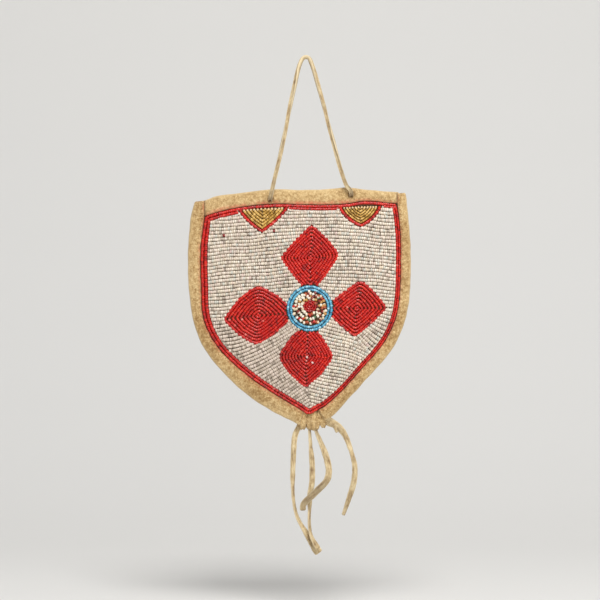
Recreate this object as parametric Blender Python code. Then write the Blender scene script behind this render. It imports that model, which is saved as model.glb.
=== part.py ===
"""Beaded medicine bag: a flat hide pouch with a beaded front, a hanging thong and a hide fringe.

The bag hangs from its thong. The origin is the inside of the thong's loop, where a peg carries it,
+Z is up and -Y is the beaded front. Lengths are metres.

Outline points are drawn in millimetres, measured from the middle of the mouth's top edge, on a bag
138 wide and 148 high. They stretch with BAG_WIDTH and BAG_HEIGHT.
"""

import math

import bmesh
import bpy
import numpy as np
from mathutils import Matrix

# Overall sizes
BAG_WIDTH = 0.138
BAG_HEIGHT = 0.148
THONG_DROP = 0.0800

# Hide
PANEL_THICKNESS = 0.0012
HALF_GAP = 0.0006
BULGE = 0.0050
BULGE_REACH = 0.036
BINDING_THICKNESS = 0.0017
BINDING_FOLD = 0.0016
INNER_FLAP_THICKNESS = 0.0009
INNER_FLAP_SHARE = 0.75
CLEARANCE = 0.0003
BINDING_CLEARANCE = 0.0005

# Beadwork. Rows that run steeply are stacked further apart, and the fan's rows lean, so they lie closer
# together than their ends do.
BEAD_HEIGHT = 0.0017
ROW_DEPTH = 0.0008
WHITE_ROW = 0.0021
STEEP_ROW = WHITE_ROW * 1.1
FAN_LEAN = 0.82
GOLD_ROW = 0.0017
RED_ROW = 0.0016
TRIANGLE_EDGE = 0.0020
GOLD_TIP = 0.08
RING_RADIUS = 0.0144
RING_BAND = 0.0038
CORE_RADIUS = 0.0043

# Thong and fringe. The steps are the longest between two points of a route.
THONG_DIAMETER = 0.0024
KNOT_SIZE = 0.0068
THONG_STEP = THONG_DIAMETER * 3.0
FRINGE_STEP = 2.2
FRINGE_WIDTHS = (0.0034, 0.0026, 0.0032, 0.0034)

MILLIMETRE = 0.001
DRAWN_WIDTH = 138.0
DRAWN_HEIGHT = 148.0

# Side bindings, from the mouth down to the tip: a point on the outer edge, the point across from it on
# the inner edge, and the width of the red border beside it.
LEFT_BINDING = (
    (-69.1, -8.5, -62.9, -8.0, 4.0),
    (-71.3, -17.4, -62.9, -17.9, 4.0),
    (-73.0, -36.0, -65.2, -36.0, 4.3),
    (-72.8, -60.0, -65.0, -61.0, 4.3),
    (-69.6, -83.3, -63.4, -81.5, 4.2),
    (-62.8, -100.0, -56.2, -96.5, 3.9),
    (-49.7, -116.1, -44.9, -108.9, 3.8),
    (-35.4, -129.0, -30.6, -120.4, 3.7),
    (-21.2, -138.3, -17.0, -129.2, 3.6),
    (-7.9, -144.9, -4.3, -136.9, 3.6),
    (-0.9, -149.2, 0.4, -140.2, 3.6),
)
RIGHT_BINDING = (
    (61.7, -3.0, 56.4, -3.4, 3.0),
    (62.6, -10.0, 56.6, -10.2, 3.0),
    (64.4, -29.0, 58.5, -29.0, 3.0),
    (65.0, -52.0, 58.6, -52.0, 2.9),
    (63.7, -70.9, 57.7, -70.0, 2.9),
    (60.5, -85.2, 54.9, -82.8, 2.9),
    (53.0, -100.6, 47.6, -96.8, 2.8),
    (40.5, -115.2, 35.6, -110.8, 2.8),
    (26.3, -130.8, 21.6, -126.3, 2.8),
    (16.7, -141.2, 11.5, -135.3, 3.2),
    (11.6, -144.3, 7.4, -137.6, 3.5),
)
BORDER_TIP = (3.2, -140.0, 3.6)

# Mouth binding, from left to right: top edge, lower edge below it, and the width of the red border
# under it, which narrows to one row over the gold triangles.
MOUTH_BINDING = (
    (-62.5, -7.7, -62.2, -17.4, 3.8),
    (-56.4, -5.5, -56.2, -15.6, 3.8),
    (-42.0, -3.6, -41.8, -12.4, 2.0),
    (-21.2, -1.2, -21.0, -10.2, 1.9),
    (-2.2, -1.5, -2.2, -10.5, 3.1),
    (12.0, -1.2, 12.0, -10.7, 3.1),
    (25.3, 0.0, 25.3, -10.0, 1.9),
    (35.8, -1.2, 35.8, -8.4, 1.9),
    (55.8, -2.6, 55.8, -9.7, 3.0),
)
HOLES = ((-21.9, -7.4), (27.8, -4.6))

# Petals: four corners, each with its rounding radius, and how far each side bows out.
PETALS = {
    "petal_top": (((3.5, -23.3, 3.0), (19.9, -41.5, 5.0), (2.5, -60.6, 2.0), (-15.6, -43.4, 2.5)), 0.6),
    "petal_left": (((-30.0, -61.2, 9.0), (-11.9, -77.6, 2.0), (-30.5, -96.6, 8.0), (-51.0, -81.4, 2.5)), 1.0),
    "petal_right": (((33.9, -57.8, 5.0), (49.7, -74.3, 3.0), (30.1, -92.0, 3.5), (16.6, -73.8, 2.0)), 0.5),
    "petal_bottom": (
        ((1.6, -88.8, 2.0), (16.5, -104.6, 4.5), (-0.3, -123.5, 3.0), (-16.6, -104.4, 7.0)), 1.0),
}
RING_CENTRE = (2.3, -74.6)
CORE_CENTRE = (2.4, -73.2)

# Gold triangles: left corner, apex and right corner.
TRIANGLES = {
    "left": ((-41.6, -15.1), (-27.3, -28.3), (-11.2, -13.6)),
    "right": ((20.1, -13.6), (33.9, -24.9), (46.6, -12.7)),
}

# Shape of a white row: how far it lies above its height at the bag's middle, from left to right.
UPPER_ROW = ((-75.0, -6.0), (-35.0, -2.6), (0.0, 0.0), (27.0, -0.9), (68.0, -4.2))
LOWER_LEFT_ROW = (
    (-75.0, -27.0),
    (-50.0, -23.8),
    (-42.8, -22.4),
    (-34.7, -19.8),
    (-25.4, -15.7),
    (-16.1, -10.7),
    (0.0, 0.0),
    (8.0, 5.6),
)
LOWER_RIGHT_ROW = (
    (-4.0, 1.0),
    (0.0, 0.0),
    (14.9, -3.4),
    (24.2, -5.6),
    (30.4, -7.5),
    (36.6, -10.0),
    (60.0, -22.0),
)
UPPER_SPAN = (-10.0, -78.0)
LOWER_LEFT_SPAN = (-58.0, -136.0)
LOWER_RIGHT_SPAN = (-68.0, -136.0)
FAN_PETAL_SIDE = ((29.0, -90.4), (40.0, -84.0), (50.0, -73.4))
FAN_BORDER_SIDE = ((43.5, -105.5), (53.5, -92.0), (60.0, -73.4))
UPPER_AREA = (
    (-75.0, 0.0),
    (-75.0, -83.2),
    (-50.0, -81.4),
    (-14.0, -77.5),
    (2.3, -76.6),
    (2.3, -74.2),
    (16.7, -73.8),
    (50.0, -74.2),
    (70.0, -74.2),
    (70.0, 0.0),
)
LOWER_LEFT_AREA = (
    (-75.0, -83.5),
    (-50.0, -81.7),
    (-14.0, -77.8),
    (1.4, -76.9),
    (1.4, -100.0),
    (2.1, -150.0),
    (-75.0, -150.0),
)
LOWER_RIGHT_AREA = (
    (1.8, -76.9),
    (16.7, -74.1),
    (29.9, -74.5),
    (29.9, -91.4),
    (44.0, -106.2),
    (20.0, -150.0),
    (2.4, -150.0),
    (1.8, -100.0),
)
FAN_AREA = ((30.2, -74.5), (70.0, -74.5), (70.0, -100.0), (44.4, -106.2), (30.2, -91.3))

# The panels are cut off straight here, above the gathered tip.
PANEL_FOOT = -140.1

# The hide gathered at the tip and the loose tab beside it. Each level: middle, half width, half depth
# and height, from top to bottom.
GATHER_LEVELS = (
    (4.2, 2.3, 2.6, -140.8),
    (4.2, 2.9, 3.1, -143.5),
    (4.2, 3.3, 3.2, -146.6),
    (4.2, 3.1, 2.8, -148.8),
    (4.2, 2.3, 1.8, -149.6),
)
TAB_LEVELS = (
    (7.9, 0.9, 0.9, -140.9),
    (9.3, 1.4, 1.3, -144.3),
    (10.1, 1.6, 1.3, -147.0),
    (10.5, 0.9, 0.8, -148.5),
)
PLEATS = 7
PLEAT_DEPTH = 0.14

# Routes, in millimetres: across, towards the back, up. The thong's heights are from the peg, the
# fringe's from the mouth.
THONG_LEFT = (
    (-1.7, -0.1, 0.7),
    (-3.7, -0.6, -3.0),
    (-7.5, -3.0, -20.0),
    (-13.6, -6.6, -48.0),
    (-20.4, -10.8, -80.4),
)
THONG_RIGHT = (
    (1.7, -0.1, 0.7),
    (3.4, -0.6, -3.0),
    (8.2, -3.0, -20.0),
    (16.0, -6.6, -48.0),
    (24.6, -10.9, -78.6),
)
FRINGE_ROUTES = (
    ((-4.4, 0.3, -147.9), (-6.8, 0.2, -153.5), (-7.8, 0.2, -166.8), (-8.1, 0.6, -182.0), (-7.4, 0.8, -194.7),
     (-5.2, 0.6, -204.0), (-0.2, 0.4, -213.0), (4.9, 0.2, -222.0), (8.1, 0.0, -226.3)),
    ((2.3, 0.2, -150.0), (3.2, 0.4, -161.8), (3.9, 0.2, -172.4), (3.6, 0.0, -184.0), (2.7, 0.2, -188.6),
     (2.4, 0.4, -197.8), (2.2, -1.4, -207.1), (3.4, -3.4, -215.1), (7.6, -3.8, -223.2)),
    ((6.2, 0.0, -150.0), (10.3, -0.8, -160.0), (13.3, -2.4, -169.3), (14.1, -3.6, -176.0),
     (12.8, -4.2, -181.0), (5.6, -4.2, -188.5), (-1.6, -3.8, -195.9), (-1.8, -3.6, -199.6)),
    ((14.0, 0.2, -144.7), (18.6, 0.0, -147.2), (23.4, -0.2, -152.0), (27.7, -0.6, -161.8),
     (30.2, -0.8, -172.5), (29.6, -0.6, -182.0), (26.4, -0.2, -193.4), (23.2, 0.0, -202.9)),
)


# Drawing helpers

def place(x, z):
    """A drawn point in metres, in the bag's own position under the thong."""
    return x * BAG_WIDTH / DRAWN_WIDTH, z * BAG_HEIGHT / DRAWN_HEIGHT - THONG_DROP


def placed(points):
    return np.array([place(x, z) for x, z in points])


def curve_through(points, count):
    """Evenly spaced points along a smooth curve through the given ones, whatever their dimension."""
    points = np.asarray(points, dtype=float)
    steps = np.sqrt(np.linalg.norm(np.diff(points, axis=0), axis=1))
    knots = np.concatenate([[0.0], np.cumsum(steps)])
    first = points[0] * 2 - points[1]
    last = points[-1] * 2 - points[-2]
    padded = np.vstack([first, points, last])
    times = np.concatenate([[-steps[0]], knots, [knots[-1] + steps[-1]]])
    dense = []
    for piece in range(len(points) - 1):
        p0, p1, p2, p3 = padded[piece:piece + 4]
        t0, t1, t2, t3 = times[piece:piece + 4]
        for t in np.linspace(t1, t2, 24, endpoint=piece == len(points) - 2):
            a1 = (t1 - t) / (t1 - t0) * p0 + (t - t0) / (t1 - t0) * p1
            a2 = (t2 - t) / (t2 - t1) * p1 + (t - t1) / (t2 - t1) * p2
            a3 = (t3 - t) / (t3 - t2) * p2 + (t - t2) / (t3 - t2) * p3
            b1 = (t2 - t) / (t2 - t0) * a1 + (t - t0) / (t2 - t0) * a2
            b2 = (t3 - t) / (t3 - t1) * a2 + (t - t1) / (t3 - t1) * a3
            dense.append((t2 - t) / (t2 - t1) * b1 + (t - t1) / (t2 - t1) * b2)
    return spaced(np.array(dense), count)


def spaced(line, count):
    """The same line as count points at even distances along it."""
    reach = np.concatenate([[0.0], np.cumsum(np.linalg.norm(np.diff(line, axis=0), axis=1))])
    stops = np.linspace(0.0, reach[-1], count)
    return np.stack([np.interp(stops, reach, line[:, axis]) for axis in range(line.shape[1])], axis=1)


def stations(pairs, count):
    """A binding's outer edge, inner edge and border width, smoothly, as arrays in metres."""
    smooth = curve_through(pairs, count)
    return placed(smooth[:, :2]), placed(smooth[:, 2:4]), smooth[:, 4] * MILLIMETRE


def across(outer, inner, distance):
    """Points a set distance in from the outer edge, towards the inner one."""
    way = inner - outer
    return outer + way / np.linalg.norm(way, axis=1, keepdims=True) * distance


def distance_to(line, x, z):
    """Shortest distance from a point to a polyline."""
    start = line[:-1]
    way = line[1:] - start
    here = np.array([x, z])
    share = np.clip(((here - start) * way).sum(1) / (way * way).sum(1), 0.0, 1.0)
    return float(np.linalg.norm(start + way * share[:, None] - here, axis=1).min())


PANEL_INSET = BINDING_FOLD + BINDING_CLEARANCE
SIDE_STATIONS = 26
MOUTH_STATIONS = 22
LEFT_OUTER, LEFT_INNER, LEFT_BORDER = stations(LEFT_BINDING, SIDE_STATIONS)
RIGHT_OUTER, RIGHT_INNER, RIGHT_BORDER = stations(RIGHT_BINDING, SIDE_STATIONS)
MOUTH_TOP, MOUTH_LOW, MOUTH_BORDER = stations(MOUTH_BINDING, MOUTH_STATIONS)
LEFT_PANEL_EDGE = across(LEFT_OUTER, LEFT_INNER, PANEL_INSET)
RIGHT_PANEL_EDGE = across(RIGHT_OUTER, RIGHT_INNER, PANEL_INSET)


def swell(distance):
    """Share of the bulge reached this far in from a side seam."""
    return 1.0 - (1.0 - min(distance / BULGE_REACH, 1.0)) ** 2


def bulge(x, z):
    """How far each panel stands off the seam plane at a point of the bag."""
    if x < LEFT_PANEL_EDGE[:, 0].min() or x > RIGHT_PANEL_EDGE[:, 0].max():
        return 0.0
    left = distance_to(LEFT_PANEL_EDGE, x, z)
    right = distance_to(RIGHT_PANEL_EDGE, x, z)
    return BULGE * swell(left) * swell(right)


def bead_base(x, z):
    """Depth of the beadwork's back, just in front of the front panel."""
    return -(HALF_GAP + PANEL_THICKNESS + CLEARANCE + bulge(x, z))


# Blender helpers

def clear_scene():
    for old in list(bpy.data.objects):
        bpy.data.objects.remove(old, do_unlink=True)


def material(name, colour, roughness):
    made = bpy.data.materials.new(name)
    made.use_nodes = True
    shader = made.node_tree.nodes["Principled BSDF"]
    shader.inputs["Base Color"].default_value = (*colour, 1.0)
    shader.inputs["Roughness"].default_value = roughness
    shader.inputs["Metallic"].default_value = 0.0
    made.diffuse_color = (*colour, 1.0)
    return made


def finish(name, bm, surface, smooth_angle=None):
    """Turns a bmesh into a named object with flat triangles pointing out."""
    bmesh.ops.recalc_face_normals(bm, faces=bm.faces)
    bmesh.ops.triangulate(bm, faces=bm.faces)
    mesh = bpy.data.meshes.new(name)
    bm.to_mesh(mesh)
    bm.free()
    if smooth_angle is not None:
        mesh.shade_smooth()
        mesh.set_sharp_from_angle(angle=math.radians(smooth_angle))
    made = bpy.data.objects.new(name, mesh)
    made.data.materials.append(surface)
    bpy.context.scene.collection.objects.link(made)
    return made


def loft(name, sections, surface):
    """A solid skinned over closed sections, with both ends filled."""
    bm = bmesh.new()
    rings = [[bm.verts.new(point) for point in section] for section in sections]
    size = len(rings[0])
    for ring, after in zip(rings, rings[1:]):
        for i in range(size):
            j = (i + 1) % size
            bm.faces.new((ring[i], ring[j], after[j], after[i]))
    bm.faces.new(rings[0])
    bm.faces.new(rings[-1])
    return finish(name, bm, surface, 50)


def prism(name, outline):
    """A cutter: an outline in metres run right through the beadwork."""
    bm = bmesh.new()
    deep = HALF_GAP
    near = -(HALF_GAP + PANEL_THICKNESS + BULGE + BEAD_HEIGHT) * 2
    front = [bm.verts.new((x, near, z)) for x, z in outline]
    back = [bm.verts.new((x, deep, z)) for x, z in outline]
    bm.faces.new(front)
    bm.faces.new(back)
    for i in range(len(front)):
        j = (i + 1) % len(front)
        bm.faces.new((front[i], front[j], back[j], back[i]))
    cutter = finish(name, bm, NO_FINISH)
    cutter.hide_render = True
    cutter.display_type = "WIRE"
    return cutter


def boolean(target, cutter, operation):
    cut = target.modifiers.new(cutter.name, "BOOLEAN")
    cut.operation = operation
    cut.solver = "EXACT"
    cut.object = cutter


# Outlines

def edge_normals(loop):
    """Inward mitre directions of a closed loop that runs anticlockwise as seen from the front."""
    before = np.roll(loop, 1, axis=0)
    after = np.roll(loop, -1, axis=0)
    first = (loop - before) / np.linalg.norm(loop - before, axis=1, keepdims=True)
    second = (after - loop) / np.linalg.norm(after - loop, axis=1, keepdims=True)
    turned = np.stack([-(first + second)[:, 1], (first + second)[:, 0]], axis=1)
    unit = turned / np.linalg.norm(turned, axis=1, keepdims=True)
    lean = np.abs((unit * np.stack([-first[:, 1], first[:, 0]], axis=1)).sum(1))
    return unit / np.maximum(lean, 0.6)[:, None]


def inset(loop, distance):
    """A closed loop moved inwards by one distance, or by one for each point."""
    return loop + edge_normals(loop) * np.reshape(distance, (-1, 1))


def rounded(corners, bow):
    """A closed outline through four rounded corners, its sides bowed out, in metres."""
    spots = placed([corner[:2] for corner in corners])
    radii = np.array([corner[2] for corner in corners]) * MILLIMETRE
    centre = spots.mean(axis=0)
    outline = []
    for i, spot in enumerate(spots):
        back = spots[i - 1] - spot
        ahead = spots[(i + 1) % 4] - spot
        back /= np.linalg.norm(back)
        ahead /= np.linalg.norm(ahead)
        start = spot + back * radii[i]
        end = spot + ahead * radii[i]
        for share in (0.0, 0.5, 1.0):
            outline.append((1 - share) ** 2 * start + 2 * share * (1 - share) * spot + share ** 2 * end)
        middle = (spot + spots[(i + 1) % 4]) / 2
        out = middle - centre
        outline.append(middle + out / np.linalg.norm(out) * bow * MILLIMETRE)
    return np.array(outline)


def circle(centre, radius, count, squash=1.0):
    angles = np.arange(count) * 2 * math.pi / count
    unit = np.stack([np.cos(angles), squash * np.sin(angles)], axis=1)
    return np.asarray(centre) + radius * unit


# Beadwork: rows of beads as ridges

def ridged_plate(name, lines, surface, closed=False, point_end=False):
    """Bead rows as one plate. Lines run along the rows: valley, crest, valley and so on."""
    bm = bmesh.new()
    top = []
    base = []
    for number, line in enumerate(lines):
        height = BEAD_HEIGHT if number % 2 else BEAD_HEIGHT - ROW_DEPTH
        depths = [bead_base(x, z) for x, z in line]
        top.append([bm.verts.new((x, y - height, z)) for (x, z), y in zip(line, depths)])
        flat = number % 2 == 0 or (point_end and number == len(lines) - 1)
        base.append([bm.verts.new((x, y, z)) for (x, z), y in zip(line, depths)] if flat else None)
    size = len(lines[0])
    around = size if closed else size - 1
    kept = [number for number, row in enumerate(base) if row]
    skin(bm, top, range(len(lines)), around, size)
    skin(bm, base, kept, around, size)
    ends = [0] if point_end else [0, len(lines) - 1]
    if closed:
        for number in ends:
            for i in range(around):
                j = (i + 1) % size
                bm.faces.new((top[number][i], top[number][j], base[number][j], base[number][i]))
    else:
        for number in ends:
            for i in range(around):
                bm.faces.new((top[number][i], top[number][i + 1], base[number][i + 1], base[number][i]))
        for number in range(0, len(lines) - 2, 2):
            for i in (0, size - 1):
                bm.faces.new((base[number][i], top[number][i], top[number + 1][i], top[number + 2][i],
                              base[number + 2][i]))
    return finish(name, bm, surface, 20)


def skin(bm, rows, numbers, around, size):
    """Faces between neighbouring lines, closing to a fan where the last line is one point."""
    numbers = list(numbers)
    for first, second in zip(numbers, numbers[1:]):
        for i in range(around):
            j = (i + 1) % size
            if len(rows[second]) == 1:
                bm.faces.new((rows[first][i], rows[first][j], rows[second][0]))
            else:
                bm.faces.new((rows[first][i], rows[first][j], rows[second][j], rows[second][i]))


def concentric(name, outline, pitch, surface):
    """Rows that follow an outline inwards to a last bead in the middle."""
    centre = outline.mean(axis=0)
    closed = np.vstack([outline, outline[:1]])
    rows = max(2, round(distance_to(closed, *centre) / pitch))
    lines = [centre + (outline - centre) * (1 - number / (2 * rows - 1)) for number in range(2 * rows - 1)]
    lines.append(centre[None, :])
    return ridged_plate(name, lines, surface, closed=True, point_end=True)


def band(name, outer, inner, rows, surface):
    """Rows side by side all the way round, between two closed outlines."""
    lines = [outer + (inner - outer) * number / (2 * rows) for number in range(2 * rows + 1)]
    return ridged_plate(name, lines, surface, closed=True)


def even_rows(span, pitch):
    """How many rows of about this pitch fill a span of drawn heights."""
    return max(2, round(abs(span[1] - span[0]) * BAG_HEIGHT / DRAWN_HEIGHT / pitch))


def stacked_lines(row_shape, span, pitch, columns):
    """Valley and crest lines of rows that all have one shape, stacked downwards."""
    row = curve_through(row_shape, columns)
    count = 2 * even_rows(span, pitch)
    levels = np.linspace(span[0], span[1], count + 1)
    return [placed(np.stack([row[:, 0], row[:, 1] + level], axis=1)) for level in levels]


def fan_lines(inner_side, outer_side, pitch, columns):
    """Valley and crest lines that spread from one side to another."""
    reach = np.linalg.norm(np.diff(placed(outer_side), axis=0), axis=1).sum()
    count = 2 * round(reach * FAN_LEAN / pitch)
    starts = placed(curve_through(inner_side, count + 1))
    ends = placed(curve_through(outer_side, count + 1))
    shares = np.linspace(0.0, 1.0, columns)
    return [start + (end - start) * shares[:, None] for start, end in zip(starts, ends)]


def white_blocks(surface, field_edge, cutouts):
    """The white ground: four blocks of rows, each laid in its own direction."""
    blocks = (
        ("white_rows_upper", stacked_lines(UPPER_ROW, UPPER_SPAN, WHITE_ROW, 11), UPPER_AREA),
        ("white_rows_lower_left", stacked_lines(LOWER_LEFT_ROW, LOWER_LEFT_SPAN, STEEP_ROW, 10),
         LOWER_LEFT_AREA),
        ("white_rows_lower_right", stacked_lines(LOWER_RIGHT_ROW, LOWER_RIGHT_SPAN, WHITE_ROW, 8),
         LOWER_RIGHT_AREA),
        ("white_rows_right_fan", fan_lines(FAN_PETAL_SIDE, FAN_BORDER_SIDE, WHITE_ROW, 4), FAN_AREA),
    )
    field = prism("field_cutter", field_edge)
    for name, lines, area in blocks:
        block = ridged_plate(name, lines, surface)
        boolean(block, field, "INTERSECT")
        boolean(block, prism(name + "_area", placed(area)), "INTERSECT")
        for cutter in cutouts[name]:
            boolean(block, cutter, "DIFFERENCE")


def triangle_lines(corners, first_scale, last_scale, rows):
    """V-shaped lines of a triangle, shrinking towards the middle of its top edge."""
    left, apex, right = placed(corners)
    centre = (left + right) / 2
    outline = np.array([left, (left + apex) / 2, apex, (apex + right) / 2, right])
    scales = np.linspace(first_scale, last_scale, 2 * rows + 1)
    return [centre + (outline - centre) * scale for scale in scales]


def triangle_share(corners, distance):
    """Scale that moves a triangle's lower sides in by a distance."""
    left, apex, right = placed(corners)
    side = apex - left
    middle = (left + right) / 2 - left
    height = abs(side[0] * middle[1] - side[1] * middle[0]) / np.linalg.norm(side)
    return 1.0 - distance / height


def border_edge():
    """The border's outer edge, just inside the bindings all the way round, and its width there."""
    margin = CLEARANCE * 2
    down = LEFT_INNER[:, 1] < MOUTH_LOW[0, 1] - margin
    up = RIGHT_INNER[:, 1] < MOUTH_LOW[-1, 1] - margin
    left = across(LEFT_INNER, LEFT_INNER * 2 - LEFT_OUTER, BINDING_CLEARANCE)[down]
    right = across(RIGHT_INNER, RIGHT_INNER * 2 - RIGHT_OUTER, BINDING_CLEARANCE)[up][::-1]
    mouth = across(MOUTH_LOW, MOUTH_LOW * 2 - MOUTH_TOP, BINDING_CLEARANCE)[::-1]
    tip = placed([BORDER_TIP[:2]])
    widths = [LEFT_BORDER[down], [BORDER_TIP[2] * MILLIMETRE], RIGHT_BORDER[up][::-1], MOUTH_BORDER[::-1]]
    return np.vstack([left, tip, right, mouth]), np.concatenate(widths)


def beadwork():
    red = material("red_glass", (0.45, 0.022, 0.012), 0.22)
    white = material("white_glass", (0.62, 0.56, 0.48), 0.25)
    gold = material("gold_glass", (0.42, 0.22, 0.07), 0.25)
    blue = material("light_blue_glass", (0.16, 0.42, 0.60), 0.22)
    mixed = material("mixed_glass", (0.66, 0.56, 0.42), 0.25)

    edge, widths = border_edge()
    border_inner = inset(edge, widths)
    band("border_rows", edge, border_inner, 2, red)
    field_edge = inset(border_inner, CLEARANCE)

    grown = {}
    for name, (points, bow) in PETALS.items():
        outline = rounded(points, bow)
        concentric(name, outline[::-1], RED_ROW, red)
        grown[name] = prism(name + "_cutter", inset(outline[::-1], -CLEARANCE))

    ring_centre = place(*RING_CENTRE)
    core_centre = place(*CORE_CENTRE)
    rosette_radius = RING_RADIUS - RING_BAND - CLEARANCE
    ring_inner = circle(ring_centre, RING_RADIUS - RING_BAND, 32)
    band("centre_ring", circle(ring_centre, RING_RADIUS, 32), ring_inner, 2, blue)
    band("centre_rosette", circle(ring_centre, rosette_radius, 28),
         circle(core_centre, CORE_RADIUS + CLEARANCE, 28, 0.9), 3, mixed)
    concentric("rosette_core", circle(core_centre, CORE_RADIUS, 20, 0.9), RED_ROW, red)
    ring_cutter = prism("centre_ring_cutter", circle(ring_centre, RING_RADIUS + CLEARANCE, 32))

    triangle_cutters = []
    for side, points in TRIANGLES.items():
        left, apex, right = placed(points)
        seam = triangle_share(points, TRIANGLE_EDGE)
        gold_start = triangle_share(points, TRIANGLE_EDGE + CLEARANCE)
        rows = max(1, round((1.0 - GOLD_TIP) * gold_start / (1.0 - triangle_share(points, GOLD_ROW))))
        ridged_plate(f"triangle_{side}_edge_row", triangle_lines(points, 1.0, seam, 1), red)
        gold_lines = triangle_lines(points, gold_start, gold_start * GOLD_TIP, rows)
        ridged_plate(f"triangle_{side}_gold", gold_lines, gold)
        share = triangle_share(points, -CLEARANCE)
        centre = (left + right) / 2
        wide = [centre + (corner - centre) * share for corner in (left, apex, right)]
        above = [wide[2] + np.array([0.0, BEAD_HEIGHT * 3]), wide[0] + np.array([0.0, BEAD_HEIGHT * 3])]
        triangle_cutters.append(prism(f"triangle_{side}_cutter", wide + above))

    cutouts = {
        "white_rows_upper": [grown["petal_top"], grown["petal_left"], grown["petal_right"], ring_cutter,
                             *triangle_cutters],
        "white_rows_lower_left": [grown["petal_left"], grown["petal_bottom"], ring_cutter],
        "white_rows_lower_right": [grown["petal_right"], grown["petal_bottom"], ring_cutter],
        "white_rows_right_fan": [grown["petal_right"]],
    }
    white_blocks(white, field_edge, cutouts)


# Hide

def above(edge, level):
    """The part of a side edge that lies above a level, cut off there."""
    foot = np.array([np.interp(-level, -edge[:, 1], edge[:, 0]), level])
    return np.vstack([edge[edge[:, 1] > level], foot])


def panel(name, side, surface):
    """One hide panel: side is -1 for the front and 1 for the back."""
    rows = 18
    columns = 13
    level = place(0.0, PANEL_FOOT)[1]
    left = spaced(above(LEFT_PANEL_EDGE, level), rows)
    right = spaced(above(RIGHT_PANEL_EDGE, level), rows)
    mouth = np.vstack([MOUTH_TOP[0] * 2 - MOUTH_TOP[3], MOUTH_TOP, MOUTH_TOP[-1] * 2 - MOUTH_TOP[-4]])
    mouth = mouth - np.array([0.0, PANEL_INSET])
    bm = bmesh.new()
    faces = {}
    for skin_number, offset in enumerate((HALF_GAP, HALF_GAP + PANEL_THICKNESS)):
        for row in range(rows):
            fade = (1 - row / (rows - 1)) ** 2
            for column in range(columns):
                share = 0.5 - 0.5 * math.cos(math.pi * column / (columns - 1))
                spot = left[row] + (right[row] - left[row]) * share
                top = left[0] + (right[0] - left[0]) * share
                lift = (np.interp(top[0], mouth[:, 0], mouth[:, 1]) - top[1]) * fade
                x, z = spot[0], spot[1] + lift
                depth = side * (offset + bulge(x, z))
                faces[skin_number, row, column] = bm.verts.new((x, depth, z))
    for row in range(rows - 1):
        for column in range(columns - 1):
            for skin_number in (0, 1):
                around = ((0, 0), (0, 1), (1, 1), (1, 0))
                bm.faces.new([faces[skin_number, row + down, column + along] for down, along in around])
    rim = [(0, column) for column in range(columns)]
    rim += [(row, columns - 1) for row in range(1, rows)]
    rim += [(rows - 1, column) for column in range(columns - 2, -1, -1)]
    rim += [(row, 0) for row in range(rows - 2, 0, -1)]
    for here, after in zip(rim, rim[1:] + rim[:1]):
        bm.faces.new((faces[(0, *here)], faces[(0, *after)], faces[(1, *after)], faces[(1, *here)]))
    return finish(name, bm, surface, 60)


def side_binding(name, outer, inner, surface):
    """A folded strip around both panels' edges. Shares run from its outer edge to its inner one."""
    seat = HALF_GAP + PANEL_THICKNESS + BINDING_CLEARANCE
    profile = ((0.0, 0.0), (0.05, 0.58), (0.2, 0.92), (0.5, 1.0), (0.8, 0.95), (1.0, 0.66))
    sections = []
    for edge, across_edge in zip(outer, inner):
        way = across_edge - edge
        fold = way / np.linalg.norm(way) * BINDING_FOLD
        front = []
        for share, rise in profile:
            x, z = edge + way * share
            front.append((x, (seat + BINDING_THICKNESS) * rise + bulge(x, z) * min(1.0, share * 2), z))
        x, z = across_edge
        front.append((x, seat + bulge(x, z), z))
        x, z = edge + way * 0.62
        front.append((x, seat + bulge(x, z), z))
        x, z = edge + fold
        front.append((x, seat, z))
        section = [(x, -y, z) for x, y, z in front]
        section += [(x, y, z) for x, y, z in reversed(front[1:])]
        sections.append(section)
    return loft(name, sections, surface)


def mouth_binding(name, side, surface):
    """A strip folded over one panel's lip: side is -1 for the front and 1 for the back."""
    seat = PANEL_THICKNESS / 2 + BINDING_CLEARANCE
    outside = seat + BINDING_THICKNESS
    inside = seat + INNER_FLAP_THICKNESS
    flap = INNER_FLAP_SHARE
    profile = (
        (1.0, seat), (1.0, outside * 0.62), (0.94, outside * 0.86), (0.75, outside * 0.97), (0.45, outside),
        (0.2, outside * 0.88), (0.06, outside * 0.55), (0.0, outside * 0.1), (0.0, -inside * 0.25),
        (0.06, -inside * 0.7), (0.2, -inside * 0.96), (flap * 0.66, -inside), (flap * 0.96, -inside),
        (flap, -inside * 0.8), (flap, -seat),
    )
    sections = []
    for high, under in zip(MOUTH_TOP, MOUTH_LOW):
        way = under - high
        fold = BINDING_FOLD / np.linalg.norm(way)
        section = []
        for share, rise in (*profile, (fold, -seat), (fold, seat)):
            x, z = high + way * share
            middle = HALF_GAP + PANEL_THICKNESS / 2 + bulge(x, z)
            section.append((x, side * (middle + rise), z))
        sections.append(section)
    return loft(name, sections, surface)


def thong_holes(targets):
    """Round holes through both lips, just wider than the thong."""
    for number, hole in enumerate(HOLES):
        x, z = place(*hole)
        bm = bmesh.new()
        bmesh.ops.create_cone(bm, cap_ends=True, segments=10, radius1=THONG_DIAMETER / 2 + CLEARANCE,
                              radius2=THONG_DIAMETER / 2 + CLEARANCE, depth=BULGE * 8)
        bmesh.ops.rotate(bm, cent=(0, 0, 0), matrix=Matrix.Rotation(math.pi / 2, 3, "X"), verts=bm.verts)
        bmesh.ops.translate(bm, vec=(x, 0.0, z), verts=bm.verts)
        cutter = finish(f"thong_hole_{number + 1}", bm, NO_FINISH)
        cutter.hide_render = True
        cutter.display_type = "WIRE"
        for target in targets:
            boolean(target, cutter, "DIFFERENCE")


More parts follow.
